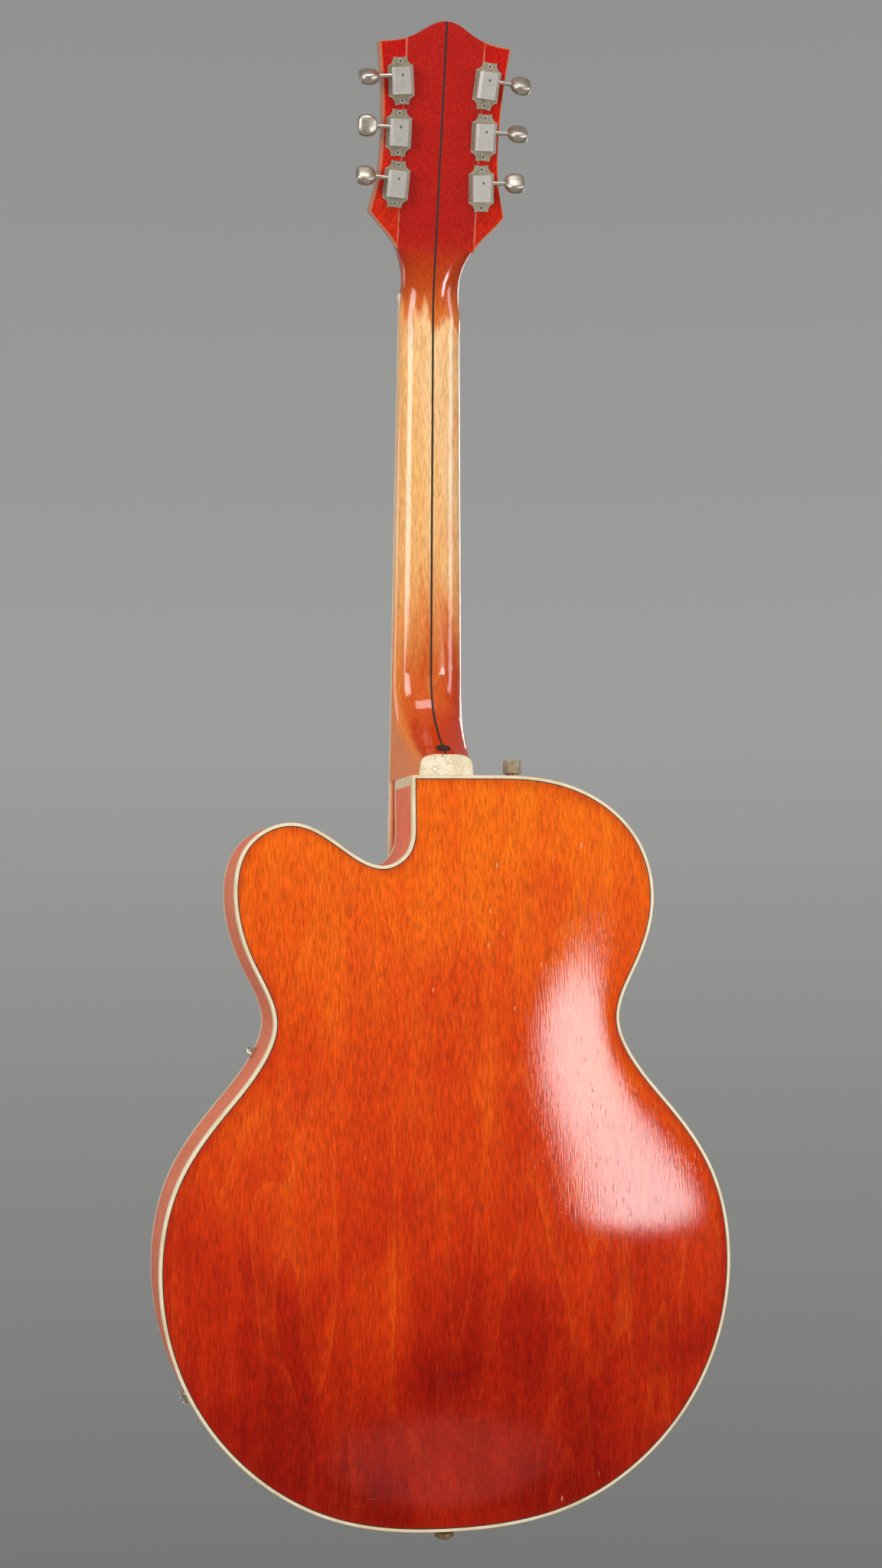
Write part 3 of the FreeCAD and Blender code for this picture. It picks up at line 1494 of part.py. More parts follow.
def main():
    """Writes one file per piece."""
    os.makedirs("parts", exist_ok=True)
    for name, shape in build().items():
        shape.exportStep("parts/%s.step" % name)
        state = "valid" if shape.isValid() else "NOT VALID"
        print(name, len(shape.Solids), "solids", round(shape.Volume), "mm3", state)


if __name__ == "__main__":
    main()
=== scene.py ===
"""Archtop guitar, hung with its back to the camera: looks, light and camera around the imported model."""

import json
import logging
import math
from abc import ABC, abstractmethod
from dataclasses import dataclass, field
from enum import Enum
from typing import Callable, Iterable, Sequence, Union

import bmesh
import bpy
import numpy as np
from mathutils import Matrix, Vector

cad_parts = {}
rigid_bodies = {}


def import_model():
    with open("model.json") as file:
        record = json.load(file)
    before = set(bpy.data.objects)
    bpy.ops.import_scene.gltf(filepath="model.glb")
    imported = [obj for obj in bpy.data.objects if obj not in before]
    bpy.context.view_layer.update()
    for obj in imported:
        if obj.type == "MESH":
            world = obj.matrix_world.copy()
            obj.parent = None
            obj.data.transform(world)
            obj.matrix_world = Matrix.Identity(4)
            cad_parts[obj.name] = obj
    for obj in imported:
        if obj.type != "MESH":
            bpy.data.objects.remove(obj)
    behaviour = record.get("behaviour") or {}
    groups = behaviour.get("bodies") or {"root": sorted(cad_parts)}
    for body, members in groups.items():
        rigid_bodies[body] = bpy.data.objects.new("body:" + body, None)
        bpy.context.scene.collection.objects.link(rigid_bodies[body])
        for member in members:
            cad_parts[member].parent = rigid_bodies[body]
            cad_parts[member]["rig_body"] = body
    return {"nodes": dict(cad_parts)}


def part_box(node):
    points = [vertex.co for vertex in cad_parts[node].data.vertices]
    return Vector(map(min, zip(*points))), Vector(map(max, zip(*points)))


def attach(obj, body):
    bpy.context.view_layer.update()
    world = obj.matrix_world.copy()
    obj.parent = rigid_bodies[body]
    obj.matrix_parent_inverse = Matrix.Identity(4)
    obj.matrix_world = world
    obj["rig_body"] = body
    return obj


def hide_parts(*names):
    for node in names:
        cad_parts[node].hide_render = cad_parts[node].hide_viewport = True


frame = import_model()

LOG = logging.getLogger("guitar")
MM = 0.001
ROOT_BODY = "guitar"
BODY_LENGTH = 0.524
SAME_PLACE = 1e-7
WELD_CELLS = 2e6
Color = tuple[float, float, float]
Point = tuple[float, float]
Spot = tuple[float, float, float]
Node = bpy.types.Node
Piece = bpy.types.Object
Socket = bpy.types.NodeSocket
Value = Union[Socket, float, Sequence[float]]


class Slot(Enum):
    """The record's material slots."""

    AMBER = "amber_maple"
    RIM = "rim_maple"
    NECK = "neck_maple"
    DARK = "dark_wood"
    RED = "red_maple"
    SPRUCE = "raw_spruce"
    VENEER = "black_veneer"
    ROSEWOOD = "rosewood"
    IVORY = "ivory_plastic"
    BLACK = "black_plastic"
    PEARL = "pearl"
    BONE = "bone"
    NICKEL = "aged_nickel"
    STEEL = "steel"
    BRASS = "aged_brass"
    WIRE = "wire_cover"


# Shader graphs


class Graph:
    """Adds nodes to a node tree and joins them. Its textures take vector: object coordinates, in metres."""

    vector: Socket

    def __init__(self, tree: bpy.types.NodeTree) -> None:
        """Starts from an empty tree."""
        self.tree = tree
        tree.nodes.clear()

    def add(self, kind: str, settings: dict[str, object] | None = None, *values: Value,
            **inputs: Value) -> Node:
        """Adds one node.

        Args:
            kind: The node's type, without its ShaderNode prefix.
            settings: Attributes of the node.
            *values: Values or sockets of the first inputs.
            **inputs: Values or sockets by input name, with _ for a space.

        Returns:
            The new node.
        """
        prefix = "" if kind.startswith("Node") else "ShaderNode"
        node = self.tree.nodes.new(prefix + kind)
        for name, value in (settings or {}).items():
            setattr(node, name, value)
        for socket, value in zip(node.inputs, values):
            self.feed(socket, value)
        self.join(node, **inputs)
        return node

    def join(self, node: Node, **inputs: Value) -> None:
        """Feeds a node's inputs by name, with _ for a space."""
        for name, value in inputs.items():
            self.feed(node.inputs[name.replace("_", " ")], value)

    def feed(self, socket: Socket, value: Value) -> None:
        """Sets an input to a value, or joins it to another node's output.

        Args:
            socket: The input.
            value: A number, a colour, a vector or an output socket.
        """
        if isinstance(value, Socket):
            self.tree.links.new(value, socket)
        elif socket.type == "RGBA" and len(value) == 3:
            socket.default_value = (*value, 1.0)
        else:
            socket.default_value = value

    def math(self, operation: str, first: Value, second: Value = 0.0) -> Socket:
        """The result of an operation, by Blender's name, on two numbers."""
        return self.add("Math", {"operation": operation}, first, second).outputs[0]

    def times(self, first: Value, second: Value) -> Socket:
        """The product of two numbers."""
        return self.math("MULTIPLY", first, second)

    def swing(self, noise: Socket, size: float) -> Socket:
        """Noise moved to lie about zero and scaled to a size."""
        return self.times(self.math("SUBTRACT", noise, 0.5), size)

    def axis(self, vector: Socket, name: str) -> Socket:
        """One axis of a vector."""
        return self.add("SeparateXYZ", Vector=vector).outputs[name]

    def span(self, value: Socket, low: float, high: float, to_low: float = 0.0, to_high: float = 1.0,
             kind: str = "SMOOTHSTEP") -> Socket:
        """Maps the range from low to high to another range, with limits."""
        return self.add("MapRange", {"interpolation_type": kind}, Value=value, From_Min=low, From_Max=high,
                        To_Min=to_low, To_Max=to_high).outputs["Result"]

    def mix(self, share: Value, first: Value, second: Value, blend: str = "MIX") -> Socket:
        """Mixes two colours.

        Args:
            share: The second colour's share.
            first: A colour or a socket.
            second: A colour or a socket.
            blend: Blender's name of the blend.

        Returns:
            The mixed colour's socket.
        """
        node = self.add("Mix", {"data_type": "RGBA", "blend_type": blend}, Factor=share)
        self.feed(node.inputs[6], first)
        self.feed(node.inputs[7], second)
        return node.outputs[2]

    def tint(self, color: Value, mask: Socket, share: float, other: Value) -> Socket:
        """Mixes up to a share of another colour in where a mask is."""
        return self.mix(self.times(mask, share), color, other)

    def shade(self, color: Socket, value: Socket) -> Socket:
        """Multiplies a colour by a number."""
        grey = self.add("CombineColor", Red=value, Green=value, Blue=value).outputs["Color"]
        return self.mix(1.0, color, grey, "MULTIPLY")

    def ramp(self, value: Socket, stops: Sequence[tuple[float, Color]]) -> Socket:
        """Turns a number into a colour.

        Args:
            value: The number's socket.
            stops: Places from 0 to 1, each with a colour.

        Returns:
            The colour's socket.
        """
        node = self.add("ValToRGB", Fac=value)
        elements = node.color_ramp.elements
        while len(elements) < len(stops):
            elements.new(0.5)
        for element, (place, color) in zip(elements, stops):
            element.position = place
            element.color = (*color, 1.0)
        return node.outputs["Color"]

    def stretched(self, scale: Sequence[float]) -> Socket:
        """The coordinates, scaled along each axis."""
        return self.add("Mapping", Vector=self.vector, Scale=scale).outputs["Vector"]

    def noise(self, scale: Sequence[float], detail: float = 3.0, distortion: float = 0.0) -> Socket:
        """Noise from 0 to 1 with so many repeats in each metre, for each axis."""
        return self.add("TexNoise", Vector=self.stretched(scale), Scale=1.0, Detail=detail,
                        Distortion=distortion).outputs["Fac"]

    def bump(self, height: Socket, strength: float, depth: float = 0.0002) -> Socket:
        """The normal of a surface that a height, so many metres deep, roughens."""
        return self.add("Bump", Strength=strength, Distance=depth, Height=height).outputs["Normal"]


class SharedGroup(ABC):
    """A node group that several materials use."""

    name: str = ""
    outputs: tuple[str, ...] = ()

    def tree(self) -> bpy.types.NodeTree:
        """Makes the group once.

        Returns:
            The group's tree.
        """
        known = bpy.data.node_groups.get(self.name)
        if known:
            return known
        tree = bpy.data.node_groups.new(self.name, "ShaderNodeTree")
        tree.interface.new_socket("Vector", in_out="INPUT", socket_type="NodeSocketVector")
        for name in self.outputs:
            tree.interface.new_socket(name, in_out="OUTPUT", socket_type="NodeSocketFloat")
        graph = Graph(tree)
        graph.vector = graph.add("NodeGroupInput").outputs["Vector"]
        graph.add("NodeGroupOutput", None, *self.fill(graph))
        return tree

    @abstractmethod
    def fill(self, graph: Graph) -> Iterable[Socket]:
        """Adds the group's own nodes.

        Args:
            graph: The group's graph.

        Returns:
            One socket for each output.
        """

    def use(self, graph: Graph) -> dict[str, Socket]:
        """Adds the group to a material and gives its outputs by name."""
        node = graph.add("Group", {"node_tree": self.tree()}, Vector=graph.vector)
        return {name: node.outputs[name] for name in self.outputs}


class GrainGroup(SharedGroup):
    """Maple's figure with its grain along Z: fine fibres, broad streaks, growth lines and short pores."""

    name = "maple_grain"
    outputs = ("Fibre", "Streak", "Growth", "Pore")
    growth_lines = 9.0
    pore_dulling = 0.3

    def fill(self, graph: Graph) -> Iterable[Socket]:
        """Adds the figure's nodes. See SharedGroup.fill."""
        fibre = graph.noise((1000, 1000, 105), 4)
        streak = graph.noise((46, 46, 2.2), 4, 0.3)
        growth = graph.times(graph.noise((15, 15, 2.1), 2, 0.25), self.growth_lines)
        pore = graph.span(graph.noise((1500, 1500, 150), 2), 0.38, 0.30)
        return fibre, streak, graph.math("FRACT", growth), pore

    @classmethod
    def lacquer(cls, graph: Graph, grain: dict[str, Socket], roughness: float) -> Socket:
        """The roughness of thin lacquer that has sunk into the pores, where it is duller."""
        return graph.span(grain["Pore"], 0.0, 1.0, roughness, roughness + cls.pore_dulling)


class WearGroup(SharedGroup):
    """Small dings, hairline scratches and smudges in an old finish."""

    name = "old_finish_wear"
    outputs = ("Ding", "Scratch", "Smudge")

    def fill(self, graph: Graph) -> Iterable[Socket]:
        """Adds the wear's nodes. See SharedGroup.fill."""
        cells = graph.add("TexVoronoi", Vector=graph.stretched((120, 60, 34)), Scale=1.0)
        near = graph.span(cells.outputs["Distance"], 0.085, 0.05)
        rare = graph.span(graph.noise((17, 17, 4), 2), 0.60, 0.68)
        lines = graph.noise((9, 9, 900), 1, 0.6)
        thin = graph.span(graph.math("ABSOLUTE", graph.math("SUBTRACT", lines, 0.5)), 0.006, 0.0)
        patch = graph.span(graph.noise((22, 22, 22), 2), 0.60, 0.72)
        smudge = graph.noise((30, 30, 18), 4, 0.4)
        return graph.times(near, rare), graph.times(thin, patch), smudge


class EdgeGroup(SharedGroup):
    """Where a piece's edges are rubbed."""

    name = "rubbed_edges"
    outputs = ("Edge",)
    radius = 0.0016
    raggedness = 0.06

    def fill(self, graph: Graph) -> Iterable[Socket]:
        """Adds the edge mask's nodes. See SharedGroup.fill."""
        rounded = graph.add("Bevel", {"samples": 4}, Radius=self.radius)
        product = graph.add("VectorMath", {"operation": "DOT_PRODUCT"}, rounded.outputs["Normal"],
                            graph.add("NewGeometry").outputs["Normal"])
        bent = graph.math("SUBTRACT", 1.0, product.outputs["Value"])
        ragged = graph.times(graph.noise((160, 160, 160), 4), self.raggedness)
        return (graph.span(graph.math("ADD", bent, ragged), 0.045, 0.16),)


class GlueGroup(SharedGroup):
    """The pale, broken lines where the headstock's wings are glued on. Lengths are in metres."""

    name = "wing_glue_lines"
    outputs = ("Line",)
    joint = 0.0286
    waver = 0.0012
    color = (0.66, 0.24, 0.20)
    share = 0.6

    def fill(self, graph: Graph) -> Iterable[Socket]:
        """Adds the lines' nodes. See SharedGroup.fill."""
        parts = graph.add("SeparateXYZ", Vector=graph.vector).outputs
        waver = graph.times(graph.noise((60, 60, 240), 3), self.waver)
        offset = graph.math("SUBTRACT", graph.math("ABSOLUTE", parts["X"]), self.joint)
        away = graph.math("ABSOLUTE", graph.math("ADD", offset, waver))
        line = graph.span(away, 0.0007, 0.0002)
        broken = graph.span(graph.noise((80, 80, 150), 3), 0.36, 0.52)
        on_head = graph.span(parts["Z"], -0.012, -0.006)
        return (graph.times(graph.times(line, broken), on_head),)

    def over(self, graph: Graph, color: Socket) -> Socket:
        """A colour with the lines laid over it."""
        return graph.tint(color, self.use(graph)["Line"], self.share, self.color)


# Finishes


@dataclass(frozen=True)
class Finish(ABC):
    """A surface's look and the record's slot that it belongs to."""

    name: str
    slot: Slot

    def material(self) -> bpy.types.Material:
        """Makes the material once.

        Returns:
            The material.
        """
        known = bpy.data.materials.get(self.name)
        if known:
            return known
        material = bpy.data.materials.new(self.name)
        material.use_nodes = True
        graph = Graph(material.node_tree)
        shader = graph.add("BsdfPrincipled")
        graph.add("OutputMaterial", Surface=shader.outputs["BSDF"])
        graph.vector = graph.add("TexCoord").outputs["Object"]
        self.paint(graph, shader)
        return material

    @abstractmethod
    def paint(self, graph: Graph, shader: Node) -> None:
        """Adds the nodes that give the surface its look.

        Args:
            graph: The material's graph.
            shader: The principled shader.
        """


@dataclass(frozen=True)
class StainedMaple(Finish):
    """Lacquered maple, stained amber to red, with its grain along Z. Its colour ramp runs up from the tail;
    on the back the darker tail is partly real stain and partly painted shade.
    """

    tail_z: float
    length: float
    stops: tuple[tuple[float, Color], ...]
    edge_share: float = 0.0
    growth_share: float = 0.3
    streak_share: float = 0.5
    cloud_share: float = 0.75
    gloss: float = 0.28
    roughness: float = 0.05
    rubbed: Color | None = None
    edge_color: Color = (0.34, 0.010, 0.001)
    growth_tint: Color = (1.25, 2.6, 3.0)
    pore_color: Color = (0.20, 0.008, 0.001)
    ding_color: Color = (0.80, 0.42, 0.22)
    scratch_color: Color = (0.75, 0.34, 0.18)

    def paint(self, graph: Graph, shader: Node) -> None:
        """Stain ramp, figure, darker edges, dings and lacquer; on the back the ramp's dark tail is partly
        painted shade. See Finish.paint.
        """
        up = graph.axis(graph.vector, "Z")
        height = graph.span(up, self.tail_z, self.tail_z + self.length, kind="LINEAR")
        grain = GrainGroup().use(graph)
        wear = WearGroup().use(graph)
        blotch = graph.noise((13, 13, 9), 4, 0.5)
        run = graph.math("ADD", graph.swing(blotch, self.cloud_share),
                         graph.swing(grain["Streak"], self.streak_share))
        # The ramp darkens towards the tail; on the back part of that darkening is painted shade.
        color = graph.ramp(graph.math("ADD", height, run), self.stops)
        low = graph.span(height, 0.62, 0.30, 0.25, 1.0)
        line = graph.times(graph.math("POWER", grain["Growth"], 5.0), low)
        bright = graph.mix(1.0, color, self.growth_tint, "MULTIPLY")
        color = graph.tint(color, line, self.growth_share, bright)
        color = graph.shade(color, graph.span(grain["Fibre"], 0.28, 0.72, 0.68, 1.22))
        color = graph.tint(color, grain["Pore"], 0.55, self.pore_color)
        if self.edge_share:
            share = graph.axis(graph.add("UVMap", {"uv_map": "polar"}).outputs["UV"], "Y")
            edge = graph.span(graph.math("ADD", share, graph.swing(blotch, 0.08)), 0.965, 1.01)
            color = graph.tint(color, edge, self.edge_share, self.edge_color)
        if self.rubbed:
            color = graph.mix(EdgeGroup().use(graph)["Edge"], color, self.rubbed)
            facing = graph.axis(graph.add("TexCoord").outputs["Normal"], "X")
            side = graph.span(graph.math("ABSOLUTE", facing), 0.6, 0.9)
            color = GlueGroup().over(graph, graph.tint(color, side, 0.8, self.rubbed))
        color = graph.tint(color, wear["Ding"], 0.8, self.ding_color)
        color = graph.tint(color, wear["Scratch"], 0.22, self.scratch_color)
        relief = graph.math("ADD", grain["Fibre"], graph.times(wear["Ding"], -1.2))
        graph.join(shader, Base_Color=color, Roughness=GrainGroup.lacquer(graph, grain, self.roughness),
                   Specular_IOR_Level=self.gloss, Normal=graph.bump(relief, 0.22))


@dataclass(frozen=True)
class WornNeck(Finish):
    """A neck's lacquer, worn through to bare maple where the hand slides. Heights start at the tail."""

    tail_z: float
    bare_from: float
    bare_to: float
    fade: float
    red_below: float
    heel_color: Color = (0.54, 0.036, 0.001)
    shaft_color: Color = (0.74, 0.18, 0.022)
    flank_color: Color = (0.86, 0.24, 0.03)
    root_color: Color = (0.52, 0.060, 0.005)
    head_color: Color = (0.45, 0.010, 0.005)
    bare_dark: Color = (0.88, 0.45, 0.155)
    bare_light: Color = (0.92, 0.56, 0.27)
    pore_color: Color = (0.42, 0.16, 0.04)
    ding_color: Color = (0.30, 0.10, 0.03)
    gloss: float = 0.50
    roughness: float = 0.11

    def paint(self, graph: Graph, shader: Node) -> None:
        """Red heel, amber shaft, bare worn middle. See Finish.paint."""
        height = graph.math("SUBTRACT", graph.axis(graph.vector, "Z"), self.tail_z)
        grain = GrainGroup().use(graph)
        wear = WearGroup().use(graph)
        patch = graph.noise((55, 55, 13), 5, 0.6)
        moved = graph.math("ADD", height, graph.swing(patch, 0.16))
        low = graph.span(moved, self.bare_from - self.fade, self.bare_from + self.fade)
        high = graph.span(moved, self.bare_to + 0.010, self.bare_to - 0.014)
        bare = graph.times(graph.times(low, high), graph.span(patch, 0.30, 0.46, 0.72, 1.0))
        near_heel = graph.span(moved, self.red_below - 0.03, self.red_below + 0.07)
        lacquer = graph.mix(near_heel, self.heel_color, self.shaft_color)
        flank = graph.axis(graph.add("TexCoord").outputs["Normal"], "X")
        lacquer = graph.mix(graph.span(flank, 0.45, 0.95, 0.0, 0.85), lacquer, self.flank_color)
        root = graph.span(height, self.bare_to - 0.01, self.bare_to + 0.03)
        head = graph.span(height, self.bare_to + 0.025, self.bare_to + 0.06)
        lacquer = graph.mix(head, graph.mix(root, lacquer, self.root_color), self.head_color)
        wood = graph.mix(graph.span(grain["Streak"], 0.35, 0.65), self.bare_dark, self.bare_light)
        wood = graph.tint(wood, grain["Pore"], 0.45, self.pore_color)
        fibre = graph.span(grain["Fibre"], 0.28, 0.72, 0.78, 1.16)
        color = graph.shade(graph.mix(bare, lacquer, wood), fibre)
        color = graph.tint(GlueGroup().over(graph, color), wear["Ding"], 0.6, self.ding_color)
        graph.join(shader, Base_Color=color, Roughness=GrainGroup.lacquer(graph, grain, self.roughness),
                   Specular_IOR_Level=self.gloss, Normal=graph.bump(grain["Fibre"], 0.06))


@dataclass(frozen=True)
class PlainWood(Finish):
    """Wood of one colour with its grain along Z."""

    dark: Color
    light: Color
    roughness: float
    pore_tone: float = 0.4

    def paint(self, graph: Graph, shader: Node) -> None:
        """Two tones, fibres and pores. See Finish.paint."""
        grain = GrainGroup().use(graph)
        color = graph.mix(graph.span(grain["Streak"], 0.35, 0.65), self.dark, self.light)
        color = graph.shade(color, graph.span(grain["Fibre"], 0.30, 0.70, 0.75, 1.2))
        color = graph.tint(color, grain["Pore"], 0.6, tuple(self.pore_tone * c for c in self.dark))
        graph.join(shader, Base_Color=color, Roughness=self.roughness, Normal=graph.bump(grain["Fibre"], 0.2))


@dataclass(frozen=True)
class AgedPlastic(Finish):
    """Plastic that has yellowed or dulled with age."""

    color: Color
    stain: Color
    stain_share: float
    roughness: float
    cracks: float = 0.0
    crack_color: Color = (0.34, 0.16, 0.05)

    def paint(self, graph: Graph, shader: Node) -> None:
        """Colour, yellowed patches and fine cracks. See Finish.paint."""
        cloud = graph.span(graph.noise((70, 70, 50), 5, 0.5), 0.40, 0.70)
        color = graph.tint(self.color, cloud, self.stain_share, self.stain)
        if self.cracks:
            cells = graph.add("TexVoronoi", {"feature": "DISTANCE_TO_EDGE"},
                              Vector=graph.stretched((260, 260, 420)), Scale=1.0)
            patch = graph.span(graph.noise((120, 120, 90), 3), 0.42, 0.58)
            line = graph.times(graph.span(cells.outputs["Distance"], 0.09, 0.0), patch)
            color = graph.tint(color, line, self.cracks, self.crack_color)
        smudge = WearGroup().use(graph)["Smudge"]
        rough = graph.span(smudge, 0.3, 0.7, self.roughness - 0.06, self.roughness + 0.1)
        relief = graph.noise((900, 900, 900), 2)
        graph.join(shader, Base_Color=color, Roughness=rough, Normal=graph.bump(relief, 0.05, 0.0001))


@dataclass(frozen=True)
class AgedMetal(Finish):
    """Plated metal that has dulled, with brushed lines and darker tarnish."""

    color: Color
    tarnish: Color
    tarnish_share: float
    roughness: float
    metallic: float = 1.0
    edge_gain: float = 1.25

    def paint(self, graph: Graph, shader: Node) -> None:
        """Metal, tarnish clouds, rubbed edges and brushed lines. See Finish.paint."""
        cloud = graph.noise((240, 240, 240), 5, 0.6)
        lines = graph.noise((2600, 2600, 60), 2)
        color = graph.tint(self.color, graph.span(cloud, 0.42, 0.70), self.tarnish_share, self.tarnish)
        color = graph.shade(color, graph.span(lines, 0.3, 0.7, 0.90, 1.08))
        bright = tuple(min(1.0, self.edge_gain * c) for c in self.color)
        color = graph.tint(color, EdgeGroup().use(graph)["Edge"], 0.6, bright)
        rough = graph.span(cloud, 0.3, 0.7, self.roughness - 0.06, self.roughness + 0.10)
        rough = graph.math("ADD", rough, graph.times(lines, 0.05))
        graph.join(shader, Base_Color=color, Metallic=self.metallic, Roughness=rough,
                   Normal=graph.bump(lines, 0.12, 0.00008))


# Shapes


def reshape(mesh: bpy.types.Mesh, operation: Callable[[bmesh.types.BMesh], object]) -> None:
    """Runs an operation on a mesh's points, edges and faces.

    Args:
        mesh: The mesh.
        operation: What is done to it.
    """
    work = bmesh.new()
    work.from_mesh(mesh)
    operation(work)
    work.to_mesh(mesh)
    work.free()


@dataclass
class Mesh:
    """A mesh in the making: points in metres and faces."""

    points: np.ndarray
    faces: np.ndarray
    uv: np.ndarray | None = None
    weld: bool = False

    def object(self, name: str, finish: Finish, sharp_degrees: float = 40.0) -> Piece:
        """Makes a smooth-shaded object of the mesh.

        Args:
            name: The object's name.
            finish: Its look.
            sharp_degrees: Edges that bend more than this stay sharp.

        Returns:
            The object, linked to the scene.
        """
        mesh = bpy.data.meshes.new(name)
        mesh.from_pydata(self.points.tolist(), [], self.faces.tolist())
        mesh.update()
        if self.uv is not None:
            layer = mesh.uv_layers.new(name="polar")
            corners = np.empty(len(mesh.loops), np.int32)
            mesh.loops.foreach_get("vertex_index", corners)
            layer.data.foreach_set("uv", self.uv[corners].astype(np.float32).ravel())
        if self.weld:
            reshape(mesh, lambda work: bmesh.ops.remove_doubles(work, verts=work.verts, dist=SAME_PLACE))
        mesh.polygons.foreach_set("use_smooth", np.ones(len(mesh.polygons), bool))
        mesh.set_sharp_from_angle(angle=math.radians(sharp_degrees))
        mesh.materials.append(finish.material())
        piece = bpy.data.objects.new(name, mesh)
        bpy.context.scene.collection.objects.link(piece)
        return piece


def grid_faces(rows: int, columns: int, closed: bool) -> np.ndarray:
    """The faces between rows of points, where each row's last point joins its first.

    Args:
        rows: How many rows of points there are.
        columns: How many points each row has.
        closed: Whether the last row joins the first.

    Returns:
        Four point numbers for each face.
    """
    r, c = np.meshgrid(np.arange(rows if closed else rows - 1), np.arange(columns), indexing="ij")
    r_next, c_next = (r + 1) % rows, (c + 1) % columns
    corners = [r * columns + c, r * columns + c_next, r_next * columns + c_next, r_next * columns + c]
    return np.stack(corners, axis=-1).reshape(-1, 4)


@dataclass
class Outline:
    """The body's outline in millimetres: x from the centre line and z from the tail."""

    length: float = 524.0
    half_width: float = 203.0
    wall: float = 24.8
    wall_length_share: float = 0.07
    side_shares: tuple[Point, ...] = (
        (0.741, 0.835), (0.679, 0.7455), (0.609, 0.667), (0.652, 0.622), (0.790, 0.553),
        (0.935, 0.470), (1.0, 0.355), (0.900, 0.187), (0.700, 0.088), (0.440, 0.026),
    )
    cutaway_shares: tuple[Point, ...] = (
        (0.140, 0.898), (0.215, 0.879), (0.320, 0.892), (0.430, 0.9215), (0.530, 0.936), (0.620, 0.930),
        (0.700, 0.905),
    )
    shoulder_shares: tuple[Point, ...] = ((0.700, 0.905), (0.570, 0.962), (0.360, 0.995), (0.170, 1.0))
    samples: int = 520
    straight_samples: int = 24
    first_slope: Point = (0.0, -1.0)
    last_slope: Point = (1.0, 0.0)

    def __post_init__(self) -> None:
        """Fits a clamped cubic curve through the outline's points and samples it."""
        size = np.array([self.half_width, self.length])
        treble = np.array(self.cutaway_shares + self.side_shares) * size
        bass = np.array(self.side_shares[::-1] + self.shoulder_shares) * size * [-1, 1]
        foot = [[self.wall, self.length * (1 - self.wall_length_share)]]
        knots = np.vstack([foot, treble, [[0.0, 0.0]], bass])
        place = np.concatenate([[0], np.cumsum(np.linalg.norm(np.diff(knots, axis=0), axis=1))])
        slope = self.slopes(knots, place)
        at = np.linspace(0, place[-1], self.samples)
        k = np.clip(np.searchsorted(place, at, side="right") - 1, 0, len(place) - 2)
        gap = (place[k + 1] - place[k])[:, None]
        t = (at - place[k])[:, None] / gap
        self.points = ((2 * t**3 - 3 * t**2 + 1) * knots[k] + (t**3 - 2 * t**2 + t) * gap * slope[k]
                       + (3 * t**2 - 2 * t**3) * knots[k + 1] + (t**3 - t**2) * gap * slope[k + 1])
        along = ((6 * t**2 - 6 * t) * knots[k] / gap + (3 * t**2 - 4 * t + 1) * slope[k]
                 + (6 * t - 6 * t**2) * knots[k + 1] / gap + (3 * t**2 - 2 * t) * slope[k + 1])
        along /= np.linalg.norm(along, axis=1)[:, None]
        self.inward = np.stack([along[:, 1], -along[:, 0]], axis=1)

    def slopes(self, knots: np.ndarray, place: np.ndarray) -> np.ndarray:
        """The slopes of a clamped cubic curve at its knots.

        Args:
            knots: The points.
            place: The length along the curve at each point.

        Returns:
            A slope for each point.
        """
        count = len(knots)
        gap = np.diff(place)
        matrix = np.zeros((count, count))
        right = np.zeros((count, 2))
        matrix[0, 0] = matrix[-1, -1] = 1.0
        right[0], right[-1] = self.first_slope, self.last_slope
        i = np.arange(1, count - 1)
        matrix[i, i - 1] = gap[i]
        matrix[i, i] = 2 * (gap[i - 1] + gap[i])
        matrix[i, i + 1] = gap[i - 1]
        step = np.diff(knots, axis=0) / gap[:, None]
        right[i] = 3 * (gap[i, None] * step[i - 1] + gap[i - 1, None] * step[i])
        return np.linalg.solve(matrix, right)

    def inset(self, distance: float) -> np.ndarray:
        """The whole outline, a distance inside the body's edge.

        Args:
            distance: The distance, in millimetres.

        Returns:
            Points round the body, in order.
        """
        curve = self.points + distance * self.inward
        corner = np.array([self.wall - distance, self.length - distance])
        share = np.linspace(0, 1, self.straight_samples)[1:-1, None]
        shoulder = curve[-1] + (corner - curve[-1]) * share
        wall = corner + (curve[0] - corner) * share
        return np.vstack([curve, shoulder, corner[None], wall])


